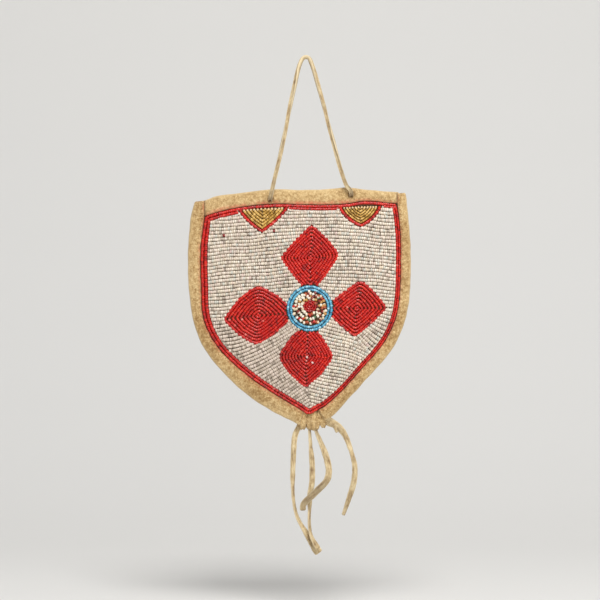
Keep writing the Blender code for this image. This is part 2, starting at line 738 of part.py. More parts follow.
def drawn_together(name, levels, pleats, surface):
    """A hanging lobe of hide with pleats down its face."""
    count = 42 if pleats else 14
    sections = []
    for middle, half_width, half_depth, level in levels:
        section = []
        for number in range(count):
            angle = 2 * math.pi * number / count
            pleat = 1.0 - PLEAT_DEPTH * (0.5 - 0.5 * math.cos(angle * pleats))
            x, z = place(middle + half_width * pleat * math.cos(angle), level)
            section.append((x, half_depth * MILLIMETRE * pleat * math.sin(angle), z))
        sections.append(section)
    return loft(name, sections, surface)


def outer_depth(x, z):
    """How far the mouth binding's face stands off the seam plane."""
    return HALF_GAP + PANEL_THICKNESS + BINDING_CLEARANCE + BINDING_THICKNESS + bulge(x, z)


# Thong, knots and fringe

def route_points(route, longest):
    """A smooth route read off at its own points and between them, no step longer than the given one."""
    route = np.asarray(route, dtype=float)
    dense = curve_through(route, 600)
    reach = np.concatenate([[0.0], np.cumsum(np.linalg.norm(np.diff(dense, axis=0), axis=1))])
    stops = [reach[np.linalg.norm(dense - spot, axis=1).argmin()] for spot in route]
    marks = [0.0]
    for start, end in zip(stops, stops[1:]):
        steps = max(1, math.ceil((end - start) / longest))
        marks += [start + (end - start) * (step + 1) / steps for step in range(steps)]
    return np.stack([np.interp(marks, reach, dense[:, axis]) for axis in range(3)], axis=1)


def cord(name, points, diameter, surface, resolution):
    path = bpy.data.curves.new(name, "CURVE")
    path.dimensions = "3D"
    path.bevel_depth = diameter / 2
    path.bevel_resolution = resolution
    path.use_fill_caps = True
    spline = path.splines.new("POLY")
    spline.points.add(len(points) - 1)
    for spot, (x, y, z) in zip(spline.points, points):
        spot.co = (x, y, z, 1.0)
    made = bpy.data.objects.new(name, path)
    made.data.materials.append(surface)
    bpy.context.scene.collection.objects.link(made)
    return made


def hang_thong(surface):
    """One thong from a knot behind the bag, through both lips, up over the peg and down again."""
    radius = THONG_DIAMETER / 2
    ends = []
    for hole, strand in zip(HOLES, (THONG_LEFT, THONG_RIGHT)):
        x, z = place(*hole)
        face = outer_depth(x, z)
        lean = -0.00012 if x < 0 else 0.00012
        through = [(x, face, z), (x, 0.0, z), (x, -face + radius, z), (x, -face - radius * 0.4, z)]
        turn = [
            (x - lean, -face - radius * 1.5, z + radius * 0.7),
            (x - lean * 4, -face - radius * 1.75, z + radius * 2),
        ]
        up = [(a * MILLIMETRE, b * MILLIMETRE, c * MILLIMETRE) for a, b, c in reversed(strand)]
        ends.append(through + turn + up)
    route = ends[0] + [(0.0, 0.0, radius)] + ends[1][::-1]
    cord("hang_thong", route_points(route, THONG_STEP), THONG_DIAMETER, surface, 2)


def knots(surface):
    """The thong's two knots behind the bag, flat where they bear on the hide."""
    for number, hole in enumerate(HOLES):
        x, z = place(*hole)
        near = outer_depth(x, z) + CLEARANCE
        half = KNOT_SIZE / 2
        levels = ((0.55, 0.0), (0.9, 0.14), (1.0, 0.36), (0.9, 0.6), (0.55, 0.76))
        sections = []
        for share, depth in levels:
            angles = [2 * math.pi * step / 12 for step in range(12)]
            ring = [(half * share * math.cos(a), half * share * math.sin(a)) for a in angles]
            sections.append([(x + dx, near + KNOT_SIZE * depth, z + dz) for dx, dz in ring])
        loft(("thong_knot_left", "thong_knot_right")[number], sections, surface)


def fringe(surface):
    """Four strips of hide hanging from the tip."""
    for number, (route, width) in enumerate(zip(FRINGE_ROUTES, FRINGE_WIDTHS)):
        spots = [(*place(x, z)[:1], y * MILLIMETRE, place(x, z)[1]) for x, y, z in route]
        cord(f"fringe_strip_{number + 1}", route_points(spots, width * FRINGE_STEP), width, surface, 2)


def build():
    hide = material("tan_hide", (0.60, 0.42, 0.21), 0.85)
    lining = material("inner_hide", (0.56, 0.40, 0.22), 0.9)
    lace = material("thong_hide", (0.51, 0.42, 0.30), 0.8)
    front = panel("front_panel", -1, lining)
    back = panel("back_panel", 1, hide)
    side_binding("left_binding", LEFT_OUTER, LEFT_INNER, hide)
    side_binding("right_binding", RIGHT_OUTER, RIGHT_INNER, hide)
    front_lip = mouth_binding("front_mouth_binding", -1, hide)
    back_lip = mouth_binding("back_mouth_binding", 1, hide)
    thong_holes((front, back, front_lip, back_lip))
    drawn_together("tip_gather", GATHER_LEVELS, PLEATS, hide)
    drawn_together("tip_tab", TAB_LEVELS, 0, hide)
    beadwork()
    hang_thong(lace)
    knots(lace)
    fringe(lace)


clear_scene()
NO_FINISH = material("cutter", (0.5, 0.5, 0.5), 0.5)
build()
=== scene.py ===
# %% [markdown]
# # A beaded hide bag, dressed over its CAD frame
# The bag is two hide panels sewn edge to edge. Strips of softer hide are folded over the edges, the whole
# front is covered with rows of glass beads, a thong goes through the lips to hang it, and four cut
# strips hang from the tip. The CAD model gives every piece its place and size. Here each piece gets the
# form and the finish that the eye expects: single beads, puffy folds, stitches, worn and soiled hide,
# with painted shade in gaps and creases and painted highlights along folds.

import math

import bmesh
import bpy
import numpy as np
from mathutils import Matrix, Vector, noise


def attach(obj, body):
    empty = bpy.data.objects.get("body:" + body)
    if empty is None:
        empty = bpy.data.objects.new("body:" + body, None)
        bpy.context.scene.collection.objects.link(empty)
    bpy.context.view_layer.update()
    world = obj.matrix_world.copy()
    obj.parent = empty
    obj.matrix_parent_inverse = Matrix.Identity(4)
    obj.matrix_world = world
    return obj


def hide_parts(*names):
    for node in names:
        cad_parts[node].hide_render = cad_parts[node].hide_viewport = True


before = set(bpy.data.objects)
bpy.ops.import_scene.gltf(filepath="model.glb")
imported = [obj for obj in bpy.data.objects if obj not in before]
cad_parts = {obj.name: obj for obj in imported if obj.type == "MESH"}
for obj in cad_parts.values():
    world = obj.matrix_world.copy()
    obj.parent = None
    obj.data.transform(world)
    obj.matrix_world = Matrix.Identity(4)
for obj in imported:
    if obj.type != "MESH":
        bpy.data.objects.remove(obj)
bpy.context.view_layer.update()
dice = np.random.default_rng(19)

# %% [markdown]
# ## The camera and the light
# The picture is taken straight from the front, from far enough away that the flat bag shows no
# perspective. A long lens at 1.3 m does the same. One soft lamp stands high in front and a little to the
# right, so that every row of beads gets a bright top and a dark underside. A larger, weaker one fills in
# from the right, and the pale room does the rest.

# %% Camera, floor and lamps
# A picture pixel in metres, the picture's width in pixels, and its middle in pixels from the loop.
PIXEL = 0.00062
PICTURE_WIDTH = 600
PICTURE_MIDDLE = (-6, -241)
CAMERA_DISTANCE = 1.3
LAMP_AIM = Vector((0.0, 0.0, -0.15))
FLOOR_LEVEL = -0.345
FLOOR_FRONT = 1.6
FLOOR_LENGTH = 2.0
WALL_BEND = 0.5
BACKDROP_LENGTH = 4.4
BACKDROP_HALF_WIDTH = 3.0


def add_object(name, data):
    made = bpy.data.objects.new(name, data)
    bpy.context.scene.collection.objects.link(made)
    return made


def smooth_mesh(name, bm):
    """The finished bmesh as a mesh with smooth shading."""
    mesh = bpy.data.meshes.new(name)
    bm.to_mesh(mesh)
    bm.free()
    mesh.shade_smooth()
    return mesh


def add_camera():
    lens = bpy.data.cameras.new("camera")
    lens.sensor_width = 36.0
    lens.lens = lens.sensor_width * CAMERA_DISTANCE / (PICTURE_WIDTH * PIXEL)
    lens.clip_start = 0.01
    eye = add_object("camera", lens)
    eye.location = (PICTURE_MIDDLE[0] * PIXEL, -CAMERA_DISTANCE, PICTURE_MIDDLE[1] * PIXEL)
    eye.rotation_euler = (math.radians(90), 0.0, 0.0)
    bpy.context.scene.camera = eye


def add_lamp(name, place, size, power):
    lamp = bpy.data.lights.new(name, "AREA")
    lamp.shape = "SQUARE"
    lamp.size = size
    lamp.energy = power
    made = add_object(name, lamp)
    made.location = place
    made.rotation_euler = (LAMP_AIM - Vector(place)).to_track_quat("-Z", "Y").to_euler()


def add_backdrop():
    """A floor that curves up into a wall behind the bag."""
    bm = bmesh.new()
    bmesh.ops.create_grid(bm, x_segments=2, y_segments=40, size=1.0)
    for vert in bm.verts:
        run = (vert.co.y + 1.0) / 2 * BACKDROP_LENGTH
        past_floor = max(0.0, run - FLOOR_LENGTH)
        turn = min(past_floor / WALL_BEND, math.pi / 2)
        y = min(run, FLOOR_LENGTH) - FLOOR_FRONT + WALL_BEND * math.sin(turn)
        z = WALL_BEND * (1 - math.cos(turn)) + max(0.0, past_floor - WALL_BEND * math.pi / 2)
        vert.co = (vert.co.x * BACKDROP_HALF_WIDTH, y, FLOOR_LEVEL + z)
    made = add_object("backdrop", smooth_mesh("backdrop", bm))
    return made


add_camera()
add_lamp("key_lamp", place=(0.12, -0.78, 0.85), size=0.5, power=12.6)
add_lamp("fill_lamp", place=(0.5, -1.1, 0.0), size=0.9, power=4.0)
backdrop = add_backdrop()
scene = bpy.context.scene
scene.view_settings.view_transform = "Standard"
scene.world = bpy.data.worlds.new("room")
scene.world.use_nodes = True
room = scene.world.node_tree.nodes["Background"]
room.inputs["Color"].default_value = (0.95, 0.97, 1.0, 1.0)
room.inputs["Strength"].default_value = 0.55
print("camera at", tuple(round(v, 3) for v in scene.camera.location))

# %% [markdown]
# ## Guide lines
# Everything on the bag follows a few lines: the two side edges, the mouth, the petals, the ring and the
# two triangles. They are drawn in millimetres from the middle of the mouth's top edge, and `placed`
# turns them into metres in the frame of the CAD model. Curves are run through their points with a
# Catmull-Rom spline, which passes through every point without corners.

# %% Curves and flat geometry
MILLIMETRE = 0.001
MOUTH_LEVEL = -0.0800
SPLINE_STEPS = 24


def placed(points):
    """Drawn points as metres, across and up."""
    return np.asarray(points, dtype=float) * MILLIMETRE + np.array([0.0, MOUTH_LEVEL])


def placed_deep(points):
    """Drawn points with their depth as metres."""
    return np.asarray(points, dtype=float) * MILLIMETRE + np.array([0.0, 0.0, MOUTH_LEVEL])


def unit(vectors):
    """The same directions with a length of 1."""
    return vectors / np.linalg.norm(vectors, axis=-1, keepdims=True)


def lengths_along(line):
    return np.concatenate([[0.0], np.cumsum(np.linalg.norm(np.diff(line, axis=0), axis=1))])


def points_at(line, stops):
    """Points at set distances along a line."""
    reach = lengths_along(line)
    return np.stack([np.interp(stops, reach, column) for column in line.T], axis=1)


def spaced(line, count):
    """The same line as count points at even distances along it."""
    return points_at(line, np.linspace(0.0, lengths_along(line)[-1], count))


def curve_through(points, count):
    """Evenly spaced points along a smooth curve through the given ones, whatever their dimension."""
    points = np.asarray(points, dtype=float)
    steps = np.sqrt(np.linalg.norm(np.diff(points, axis=0), axis=1))
    marks = np.concatenate([[0.0], np.cumsum(steps)])
    padded = np.vstack([points[0] * 2 - points[1], points, points[-1] * 2 - points[-2]])
    times = np.concatenate([[-steps[0]], marks, [marks[-1] + steps[-1]]])
    dense = []
    for piece in range(len(points) - 1):
        p0, p1, p2, p3 = padded[piece:piece + 4]
        t0, t1, t2, t3 = times[piece:piece + 4]
        for t in np.linspace(t1, t2, SPLINE_STEPS, endpoint=piece == len(points) - 2):
            a1 = (t1 - t) / (t1 - t0) * p0 + (t - t0) / (t1 - t0) * p1
            a2 = (t2 - t) / (t2 - t1) * p1 + (t - t1) / (t2 - t1) * p2
            a3 = (t3 - t) / (t3 - t2) * p2 + (t - t2) / (t3 - t2) * p3
            b1 = (t2 - t) / (t2 - t0) * a1 + (t - t0) / (t2 - t0) * a2
            b2 = (t3 - t) / (t3 - t1) * a2 + (t - t1) / (t3 - t1) * a3
            dense.append((t2 - t) / (t2 - t1) * b1 + (t - t1) / (t2 - t1) * b2)
    return spaced(np.array(dense), count)


def distance_to(line, points):
    """Distance of each point to a line of straight stretches."""
    start = line[:-1]
    way = line[1:] - start
    offset = points[:, None, :] - start
    share = np.clip((offset * way).sum(2) / (way * way).sum(1), 0.0, 1.0)
    return np.linalg.norm(offset - way * share[..., None], axis=2).min(1)


def inside(outline, points):
    """Which points lie inside a closed outline."""
    after = np.roll(outline, -1, axis=0)
    rise = after[:, 1] - outline[:, 1]
    rise[rise == 0.0] = 1e-12
    x, z = points[:, :1], points[:, 1:]
    crosses = (outline[:, 1] > z) != (after[:, 1] > z)
    at = outline[:, 0] + (z - outline[:, 1]) / rise * (after[:, 0] - outline[:, 0])
    return ((x < at) & crosses).sum(1) % 2 == 1


def across(outer, inner, distance):
    """Points a set distance in from the outer edge, towards the inner one."""
    return outer + unit(inner - outer) * distance


# %% The bag's own lines
# Side bindings, from the mouth to the tip: outer edge, inner edge, and width of the red border beside it.
LEFT_BINDING = (
    (-69.1, -8.5, -62.9, -8.0, 4.0), (-71.3, -17.4, -62.9, -17.9, 4.0), (-73.0, -36.0, -65.2, -36.0, 4.3),
    (-72.8, -60.0, -65.0, -61.0, 4.3), (-69.6, -83.3, -63.4, -81.5, 4.2), (-62.8, -100.0, -56.2, -96.5, 3.9),
    (-49.7, -116.1, -44.9, -108.9, 3.8), (-35.4, -129.0, -30.6, -120.4, 3.7),
    (-21.2, -138.3, -17.0, -129.2, 3.6), (-7.9, -144.9, -4.3, -136.9, 3.6), (-0.9, -149.2, 0.4, -140.2, 3.6),
)
RIGHT_BINDING = (
    (61.7, -3.0, 56.4, -3.4, 3.0), (62.6, -10.0, 56.6, -10.2, 3.0), (64.4, -29.0, 58.5, -29.0, 3.0),
    (65.0, -52.0, 58.6, -52.0, 2.9), (63.7, -70.9, 57.7, -70.0, 2.9), (60.5, -85.2, 54.9, -82.8, 2.9),
    (53.0, -100.6, 47.6, -96.8, 2.8), (40.5, -115.2, 35.6, -110.8, 2.8), (26.3, -130.8, 21.6, -126.3, 2.8),
    (16.7, -141.2, 11.5, -135.3, 3.2), (11.6, -144.3, 7.4, -137.6, 3.5),
)
# Mouth binding, from left to right: top edge, lower edge, and roughly the width of the red border under
# it, which MOUTH_BORDER_WIDTHS gives exactly.
MOUTH_BINDING = (
    (-62.5, -7.7, -62.2, -17.4, 3.8), (-56.4, -5.5, -56.2, -15.6, 3.8), (-42.0, -3.6, -41.8, -12.4, 2.0),
    (-21.2, -1.2, -21.0, -10.2, 1.9), (-2.2, -1.5, -2.2, -10.5, 3.1), (12.0, -1.2, 12.0, -10.7, 3.1),
    (25.3, 0.0, 25.3, -10.0, 1.9), (35.8, -1.2, 35.8, -8.4, 1.9), (55.8, -2.6, 55.8, -9.7, 3.0),
)
BORDER_TIP = (3.2, -140.0, 3.6)
HOLES = placed(((-21.9, -7.4), (27.8, -4.6)))
# Petals: place and rounding of the top, right, bottom and left corner, and how far the sides bow out.
PETALS = {
    "petal_top": (
        ((3.5, -23.3, 3.0), (19.9, -41.5, 5.0), (2.5, -66.2, 2.0), (-15.6, -43.4, 2.5)), 0.6),
    "petal_left": (
        ((-30.0, -61.2, 12.0), (-6.2, -77.4, 2.0), (-30.5, -96.6, 8.0), (-51.0, -81.4, 2.5)), 1.0),
    "petal_right": (
        ((33.9, -57.8, 5.0), (49.7, -74.3, 3.0), (30.1, -92.0, 3.5), (11.0, -74.5, 2.0)), 0.5),
    "petal_bottom": (
        ((1.4, -82.4, 2.0), (16.5, -104.6, 4.5), (-0.3, -123.5, 3.0), (-16.6, -104.4, 7.0)), 1.0),
}
RING_CENTRE, CORE_CENTRE = placed(((2.3, -74.6), (2.4, -73.2)))
RING_RADIUS = 0.0144
# Triangles: left end, apex and right end.
TRIANGLES = {
    "left": placed(((-41.6, -15.1), (-27.3, -28.3), (-11.2, -13.6))),
    "right": placed(((20.1, -13.6), (33.9, -24.9), (46.6, -12.7))),
}
print("thong's holes at", [tuple(round(float(v) * 1000, 1) for v in hole) for hole in HOLES], "mm")

# %% The hide's thicknesses and the bulge
PANEL_THICKNESS = 0.0012
HALF_GAP = 0.0006
BULGE = 0.0050
BULGE_REACH = 0.036
BINDING_THICKNESS = 0.0017
BINDING_FOLD = 0.0016
INNER_FLAP_THICKNESS = 0.0009
INNER_FLAP_SHARE = 0.75
BINDING_CLEARANCE = 0.0005
PANEL_INSET = BINDING_FOLD + BINDING_CLEARANCE
COARSE = 26


def stations(rows, count):
    """A binding's outer edge, inner edge and border width, in metres."""
    smooth = curve_through(rows, count)
    return placed(smooth[:, :2]), placed(smooth[:, 2:4]), smooth[:, 4] * MILLIMETRE


LEFT_PANEL_EDGE = across(*stations(LEFT_BINDING, COARSE)[:2], PANEL_INSET)
RIGHT_PANEL_EDGE = across(*stations(RIGHT_BINDING, COARSE)[:2], PANEL_INSET)


def bulge(points):
    """How far each panel stands off the seam plane at flat points of the bag."""
    points = np.atleast_2d(points)
    rise = np.full(len(points), BULGE)
    for edge in (LEFT_PANEL_EDGE, RIGHT_PANEL_EDGE):
        rise *= 1.0 - (1.0 - np.minimum(distance_to(edge, points) / BULGE_REACH, 1.0)) ** 2
    beyond = (points[:, 0] < LEFT_PANEL_EDGE[:, 0].min()) | (points[:, 0] > RIGHT_PANEL_EDGE[:, 0].max())
    return np.where(beyond, 0.0, rise)


print("bulge at the ring in mm:", round(float(bulge(RING_CENTRE)[0]) * 1000, 2))

# %% [markdown]
# ## Shader arithmetic
# A material is a small formula: blotches plus grain, darker where soil gathers. Written as node links it
# would be long and hard to read, so a socket is wrapped in a class that knows plus, minus and times. Each
# sign adds a Math node. Colours are mixed with a Mix node instead, because a Math node turns them grey.

# %% Sockets that take part in arithmetic
class Field:
    """A number or colour that changes over a surface."""

    def __init__(self, recipe, socket):
        self.recipe = recipe
        self.socket = socket

    def _math(self, operation, *values):
        sockets = dict(enumerate(values))
        return self.recipe.node("Math", {"operation": operation}, sockets)

    def __add__(self, other):
        return self._math("ADD", self, other)

    def __sub__(self, other):
        return self._math("SUBTRACT", self, other)

    def __mul__(self, other):
        return self._math("MULTIPLY", self, other)

    def __rsub__(self, other):
        return self._math("SUBTRACT", other, self)

    __radd__ = __add__
    __rmul__ = __mul__

    def stretch(self, low, high):
        """0 below low and 1 above high, straight in between."""
        limits = {"Value": self, "From Min": low, "From Max": high}
        return self.recipe.node("MapRange", {"clamp": True}, limits)


class Recipe:
    """One material while its nodes are being made."""

    def __init__(self, name, **constants):
        self.material = bpy.data.materials.new(name)
        self.material.use_nodes = True
        self.tree = self.material.node_tree
        self.shader = self.tree.nodes["Principled BSDF"]
        for socket, value in constants.items():
            self.shader.inputs[socket.replace("_", " ")].default_value = value

    def node(self, kind, settings=None, sockets=None, output=0):
        """Makes any node from its settings and the values or links of its sockets."""
        made = self.tree.nodes.new("ShaderNode" + kind)
        settings = dict(settings or {})
        stops = settings.pop("stops", None)
        for key, value in settings.items():
            setattr(made, key, value)
        if stops:
            self.set_stops(made.color_ramp, stops)
        for key, value in (sockets or {}).items():
            if isinstance(value, Field):
                self.tree.links.new(value.socket, made.inputs[key])
            else:
                made.inputs[key].default_value = value
        return Field(self, made.outputs[output])

    @staticmethod
    def set_stops(ramp, stops):
        ramp.interpolation = stops[0]
        for number, (place, colour) in enumerate(stops[1:]):
            spot = ramp.elements[number] if number < 2 else ramp.elements.new(place)
            spot.position = place
            spot.color = colour

    def ramp(self, value, *stops, smooth="LINEAR"):
        return self.node("ValToRGB", {"stops": (smooth, *stops)}, {"Fac": value})

    def mix(self, share, first, second):
        """Colours: first where share is 0, second where it is 1. Sockets 6 and 7 are those for colours."""
        return self.node("Mix", {"data_type": "RGBA"}, {0: share, 6: first, 7: second}, output=2)

    def attribute(self, name):
        return self.node("Attribute", {"attribute_name": name}, output="Fac")

    def noise(self, scale, detail=2.0, roughness=0.5, where=None):
        sockets = {"Vector": where or self.node("TexCoord", output="Object"), "Scale": scale,
                   "Detail": detail, "Roughness": roughness}
        return self.node("TexNoise", {}, sockets)

    def feed(self, socket, value):
        self.tree.links.new(value.socket, self.shader.inputs[socket])

    def bump(self, height, depth):
        """Relief of a set depth in metres, for a height that runs from 0 to 1."""
        self.feed("Normal", self.node("Bump", {}, {"Height": height, "Distance": depth, "Strength": 1.0}))


def ink(red, green, blue):
    """A screen colour from 0 to 255 as the linear colour that a socket takes."""
    parts = [value / 255 for value in (red, green, blue)]
    return (*[p / 12.92 if p <= 0.04045 else ((p + 0.055) / 1.055) ** 2.4 for p in parts], 1.0)


# %% [markdown]
# ## Hide
# Brain-tanned hide is matt and napped like suede, never one colour: smoke and handling leave soft
# blotches, pores and small dark specks. Folded edges and the edges of strips are paler, partly from wear
# and partly as painted highlight, and the seams, stitches, pleats and the thong's holes are darker, partly
# from soil and partly as painted shade. Where the hide was wet beside the red beads, some of their colour
# ran into it. Three attributes carried by the meshes say where all that happens, one for the soil and
# painted shade, one for the wear and painted highlight and one for the run red, and noise breaks it up.

# %% The hide materials
# How fine each pattern is, in repeats per metre, and how deep the relief is, in metres.
BLOTCHES = 75.0
MOTTLE = 480.0
NAP = 1500.0
PORES = 560.0
GRIME = 190.0
RUN_COLOUR = 260.0
HIDE_RELIEF = 0.00035
LACE_BLOTCHES = 160.0
LACE_SPECKS = 900.0
LACE_FIBRES = (2600.0, 150.0, 1.0)
LACE_RELIEF = 0.00025
BLED_RED = ink(216, 104, 82)


def hide_finish(name, pale, plain, dark, soil_and_shade_tone):
    hide = Recipe(name, Roughness=0.92, Sheen_Weight=0.12, Sheen_Roughness=0.6, Specular_IOR_Level=0.25)
    blotches = hide.noise(BLOTCHES, 3.0, 0.55)
    mottle = hide.noise(MOTTLE, 4.0, 0.6)
    nap = hide.noise(NAP, 3.0, 0.7)
    tone = blotches * 0.36 + mottle * 0.64 + nap * 0.90
    colour = hide.ramp(tone * 0.5, (0.395, dark), (0.475, plain), (0.565, pale))
    pores = hide.noise(PORES, 2.0, 0.5).stretch(0.62, 0.74)
    colour = hide.mix(pores * 0.5, colour, dark)
    # Paler along folds and edges: rubbed wear and painted highlight.
    wear_and_highlight = hide.attribute("wear_and_highlight")
    colour = hide.mix(wear_and_highlight * 0.6, colour, pale)
    bleed = hide.attribute("bleed") * hide.noise(RUN_COLOUR, 3.0, 0.6).stretch(0.30, 0.70)
    colour = hide.mix(bleed * 0.85, colour, BLED_RED)
    # Darker with soil, and with painted shade in the pleats, the seam grooves and the thong's holes.
    soil_and_shade = hide.attribute("soil_and_shade")
    darkening = hide.noise(GRIME, 3.0, 0.6).stretch(0.42, 0.75)
    colour = hide.mix(soil_and_shade * 0.75 + darkening * 0.16, colour, soil_and_shade_tone)
    hide.feed("Base Color", colour)
    hide.feed("Roughness", 0.96 - wear_and_highlight * 0.1 - pores * 0.08)
    hide.bump(nap * 0.4 + mottle * 0.6, HIDE_RELIEF)
    return hide.material


def lace_finish():
    """Cut strips: greyer, with fibres that run along them, which the UV map in metres follows."""
    lace = Recipe("thong_hide", Roughness=0.9, Sheen_Weight=0.1, Sheen_Roughness=0.6, Specular_IOR_Level=0.25)
    along = lace.node("TexCoord", output="UV")
    fibre_map = lace.node("Mapping", {}, {"Vector": along, "Scale": LACE_FIBRES})
    fibres = lace.noise(1.0, 3.0, 0.6, fibre_map)
    blotches = lace.noise(LACE_BLOTCHES, 3.0, 0.6)
    specks = lace.noise(LACE_SPECKS, 2.0, 0.5).stretch(0.60, 0.72)
    tone = fibres * 0.8 + blotches * 0.7
    colour = lace.ramp(tone * 0.5, (0.28, ink(140, 114, 82)), (0.37, ink(192, 168, 126)),
                       (0.46, ink(222, 203, 162)))
    colour = lace.mix(specks * 0.30, colour, ink(120, 92, 62))
    # Darker in patches and where the strip's darkening levels say.
    colour = lace.mix(lace.attribute("soil_and_shade") * 0.7, colour, ink(98, 82, 64))
    # Paler edges: rubbed wear and painted highlight.
    lace.feed("Base Color", lace.mix(lace.attribute("wear_and_highlight") * 0.6, colour, ink(232, 214, 176)))
    lace.bump(fibres * 0.6 + specks * 0.4, LACE_RELIEF)
    return lace.material


TAN_HIDE = hide_finish("tan_hide", pale=ink(219, 192, 142), plain=ink(184, 151, 101),
                       dark=ink(144, 110, 64), soil_and_shade_tone=ink(92, 66, 38))
# The front panel only shows in the gaps between the beads, so its hide is painted dark: painted shade.
SHADED_FRONT_HIDE = hide_finish("inner_hide", pale=ink(128, 102, 74), plain=ink(104, 80, 56),
                         dark=ink(76, 56, 38), soil_and_shade_tone=ink(52, 38, 26))
LACE = lace_finish()
print("hide finishes:", [finish.name for finish in (TAN_HIDE, SHADED_FRONT_HIDE, LACE)])

# %% [markdown]
# ## Glass beads
# Seed beads are short pieces of glass tube, tumbled until their edges are round. The glass is opaque and
# glossy, and no two beads are quite the same tone. `tint` is a number that each bead carries, which picks
# its tone from a ramp, and `depth` is low where a bead goes down towards the hide. There the colour is
# darkened: painted shade for the gaps between the beads, with some old grease as well.

# %% The glass materials
GLASS_ROUGHNESS = 0.24
STREAKS = 1200.0
STAINS = 45.0
DUST = 420.0


def glass_finish(name, shade_and_grime_tone, darkening, stops, smooth="LINEAR"):
    glass = Recipe(name, Roughness=GLASS_ROUGHNESS, Coat_Weight=0.10, Coat_Roughness=0.12)
    colour = glass.ramp(glass.attribute("tint"), *stops, smooth=smooth)
    streak = glass.noise(STREAKS, 2.0, 0.5).stretch(0.35, 0.8)
    stain = glass.noise(STAINS, 3.0, 0.6).stretch(0.45, 0.75)
    colour = glass.mix(streak * 0.18 + stain * 0.20, colour, shade_and_grime_tone)
    # Painted shade: each bead darkens towards the hide, where the gaps between beads lie in shade, with some
    # grime too.
    depth = glass.attribute("depth")
    colour = glass.mix((1.0 - depth.stretch(0.10, 0.58)) * darkening, colour, shade_and_grime_tone)
    glass.feed("Base Color", colour)
    dust = glass.noise(DUST, 3.0, 0.6).stretch(0.40, 0.75)
    glass.feed("Roughness", dust * 0.22 + GLASS_ROUGHNESS)
    return glass.material


RED = ink(194, 16, 3)
RED_GLASS = glass_finish("red_glass", shade_and_grime_tone=ink(70, 4, 3), darkening=0.75, stops=(
    (0.0, ink(132, 6, 2)), (0.12, ink(172, 10, 3)), (0.5, RED), (0.85, ink(210, 32, 10)),
    (0.94, ink(214, 44, 22)), (0.98, ink(236, 196, 186))))
WHITE_GLASS = glass_finish("white_glass", shade_and_grime_tone=ink(128, 106, 92), darkening=0.6, stops=(
    (0.0, ink(150, 135, 120)), (0.12, ink(194, 179, 160)), (0.35, ink(217, 200, 185)),
    (0.5, ink(208, 195, 173)), (0.65, ink(231, 217, 199)), (0.78, ink(190, 190, 178)),
    (0.90, ink(221, 203, 178)), (0.95, ink(209, 184, 174)), (0.98, ink(130, 20, 20))))
GOLD_GLASS = glass_finish("gold_glass", shade_and_grime_tone=ink(70, 50, 8), darkening=0.9, stops=(
    (0.0, ink(138, 102, 36)), (0.3, ink(178, 134, 54)), (0.6, ink(204, 160, 74)), (0.95, ink(224, 184, 106)),
    (1.0, ink(226, 192, 142))))
# The ring gets the strongest painted shade, which draws the dark line between its two rows.
BLUE_GLASS = glass_finish("light_blue_glass", shade_and_grime_tone=ink(8, 46, 72), darkening=1.0, stops=(
    (0.0, ink(44, 116, 148)), (0.3, ink(76, 154, 186)), (0.7, ink(106, 184, 210)), (1.0, ink(184, 226, 236))))
MIXED_GLASS = glass_finish("mixed_glass", shade_and_grime_tone=ink(84, 66, 46), darkening=0.6, stops=(
    (0.0, ink(240, 228, 204)), (0.32, ink(222, 200, 166)), (0.48, ink(246, 238, 222)), (0.62, RED),
    (0.72, ink(132, 34, 26)), (0.78, ink(200, 146, 74)), (0.86, ink(176, 78, 40)), (0.92, ink(84, 124, 84)),
    (0.96, ink(34, 26, 26))), smooth="CONSTANT")
print("materials:", len(bpy.data.materials))

# %% [markdown]
# ## One bead
# A bead is a turned form, so its half outline is spun round its own axis: a short barrel with rounded
# shoulders. Ten steps are plenty for something two millimetres across that repeats thousands of times.
# The axis is +X, the thread's direction, and +Z is the side that will face out of the bag.

# %% Spin the bead
BEAD_OUTLINE = ((-0.5, 0.33), (-0.42, 0.455), (0.0, 0.5), (0.42, 0.455), (0.5, 0.33))
BEAD_STEPS = 10


def spin_bead():
    bm = bmesh.new()
    spots = [bm.verts.new((x, 0.0, radius)) for x, radius in BEAD_OUTLINE]
    edges = [bm.edges.new(pair) for pair in zip(spots, spots[1:])]
    bmesh.ops.spin(bm, geom=spots + edges, cent=(0, 0, 0), axis=(1, 0, 0), dvec=(0, 0, 0),
                   angle=2 * math.pi, steps=BEAD_STEPS, use_merge=True)
    bmesh.ops.holes_fill(bm, edges=bm.edges, sides=BEAD_STEPS)
    bmesh.ops.recalc_face_normals(bm, faces=bm.faces)
    depth = bm.verts.layers.float.new("depth")
    bm.verts.layers.float.new("tint")
    for vert in bm.verts:
        vert[depth] = vert.co.z + 0.5
    mesh = bpy.data.meshes.new("bead")
    bm.to_mesh(mesh)
    bm.free()
    return mesh


BEAD = spin_bead()
BEAD_SHAPE = np.array([vert.co for vert in BEAD.vertices])
print("faces of one bead:", len(BEAD.polygons))

# %% [markdown]
# ## Stringing beads
# A row is a line on the flat bag. The beads are set along it one after another, each turned to follow the
# line and lifted by the bulge of the panel, with a little play in size, place and tilt, because no
# hand-sewn row is straight. In the straight rows every bead also has a length of its own, and a string
# that closes on itself has an even pitch. Where a motif interrupts a row, each stretch that is left gets a
# whole number of beads, as a beadworker would fit them.

# %% Rows of beads
BEAD_SINK = 0.0001
BEAD_SEAT = HALF_GAP + PANEL_THICKNESS - BEAD_SINK
BEAD_LENGTH = 0.00124
SAMPLE = 0.0001
SLOPE_STEP = 0.0005
BEAD_CREASE = 40
# The play of a bead's length and width as shares, of its place and height in metres, of its tilt in radians.
LENGTH_PLAY = 0.09
WIDTH_PLAY = 0.035
TIGHT_FIT = 0.98
LOOSENESS = 0.06
PLACE_PLAY = 0.00005
HEIGHT_PLAY = 0.00008
TILT_PLAY = 0.05
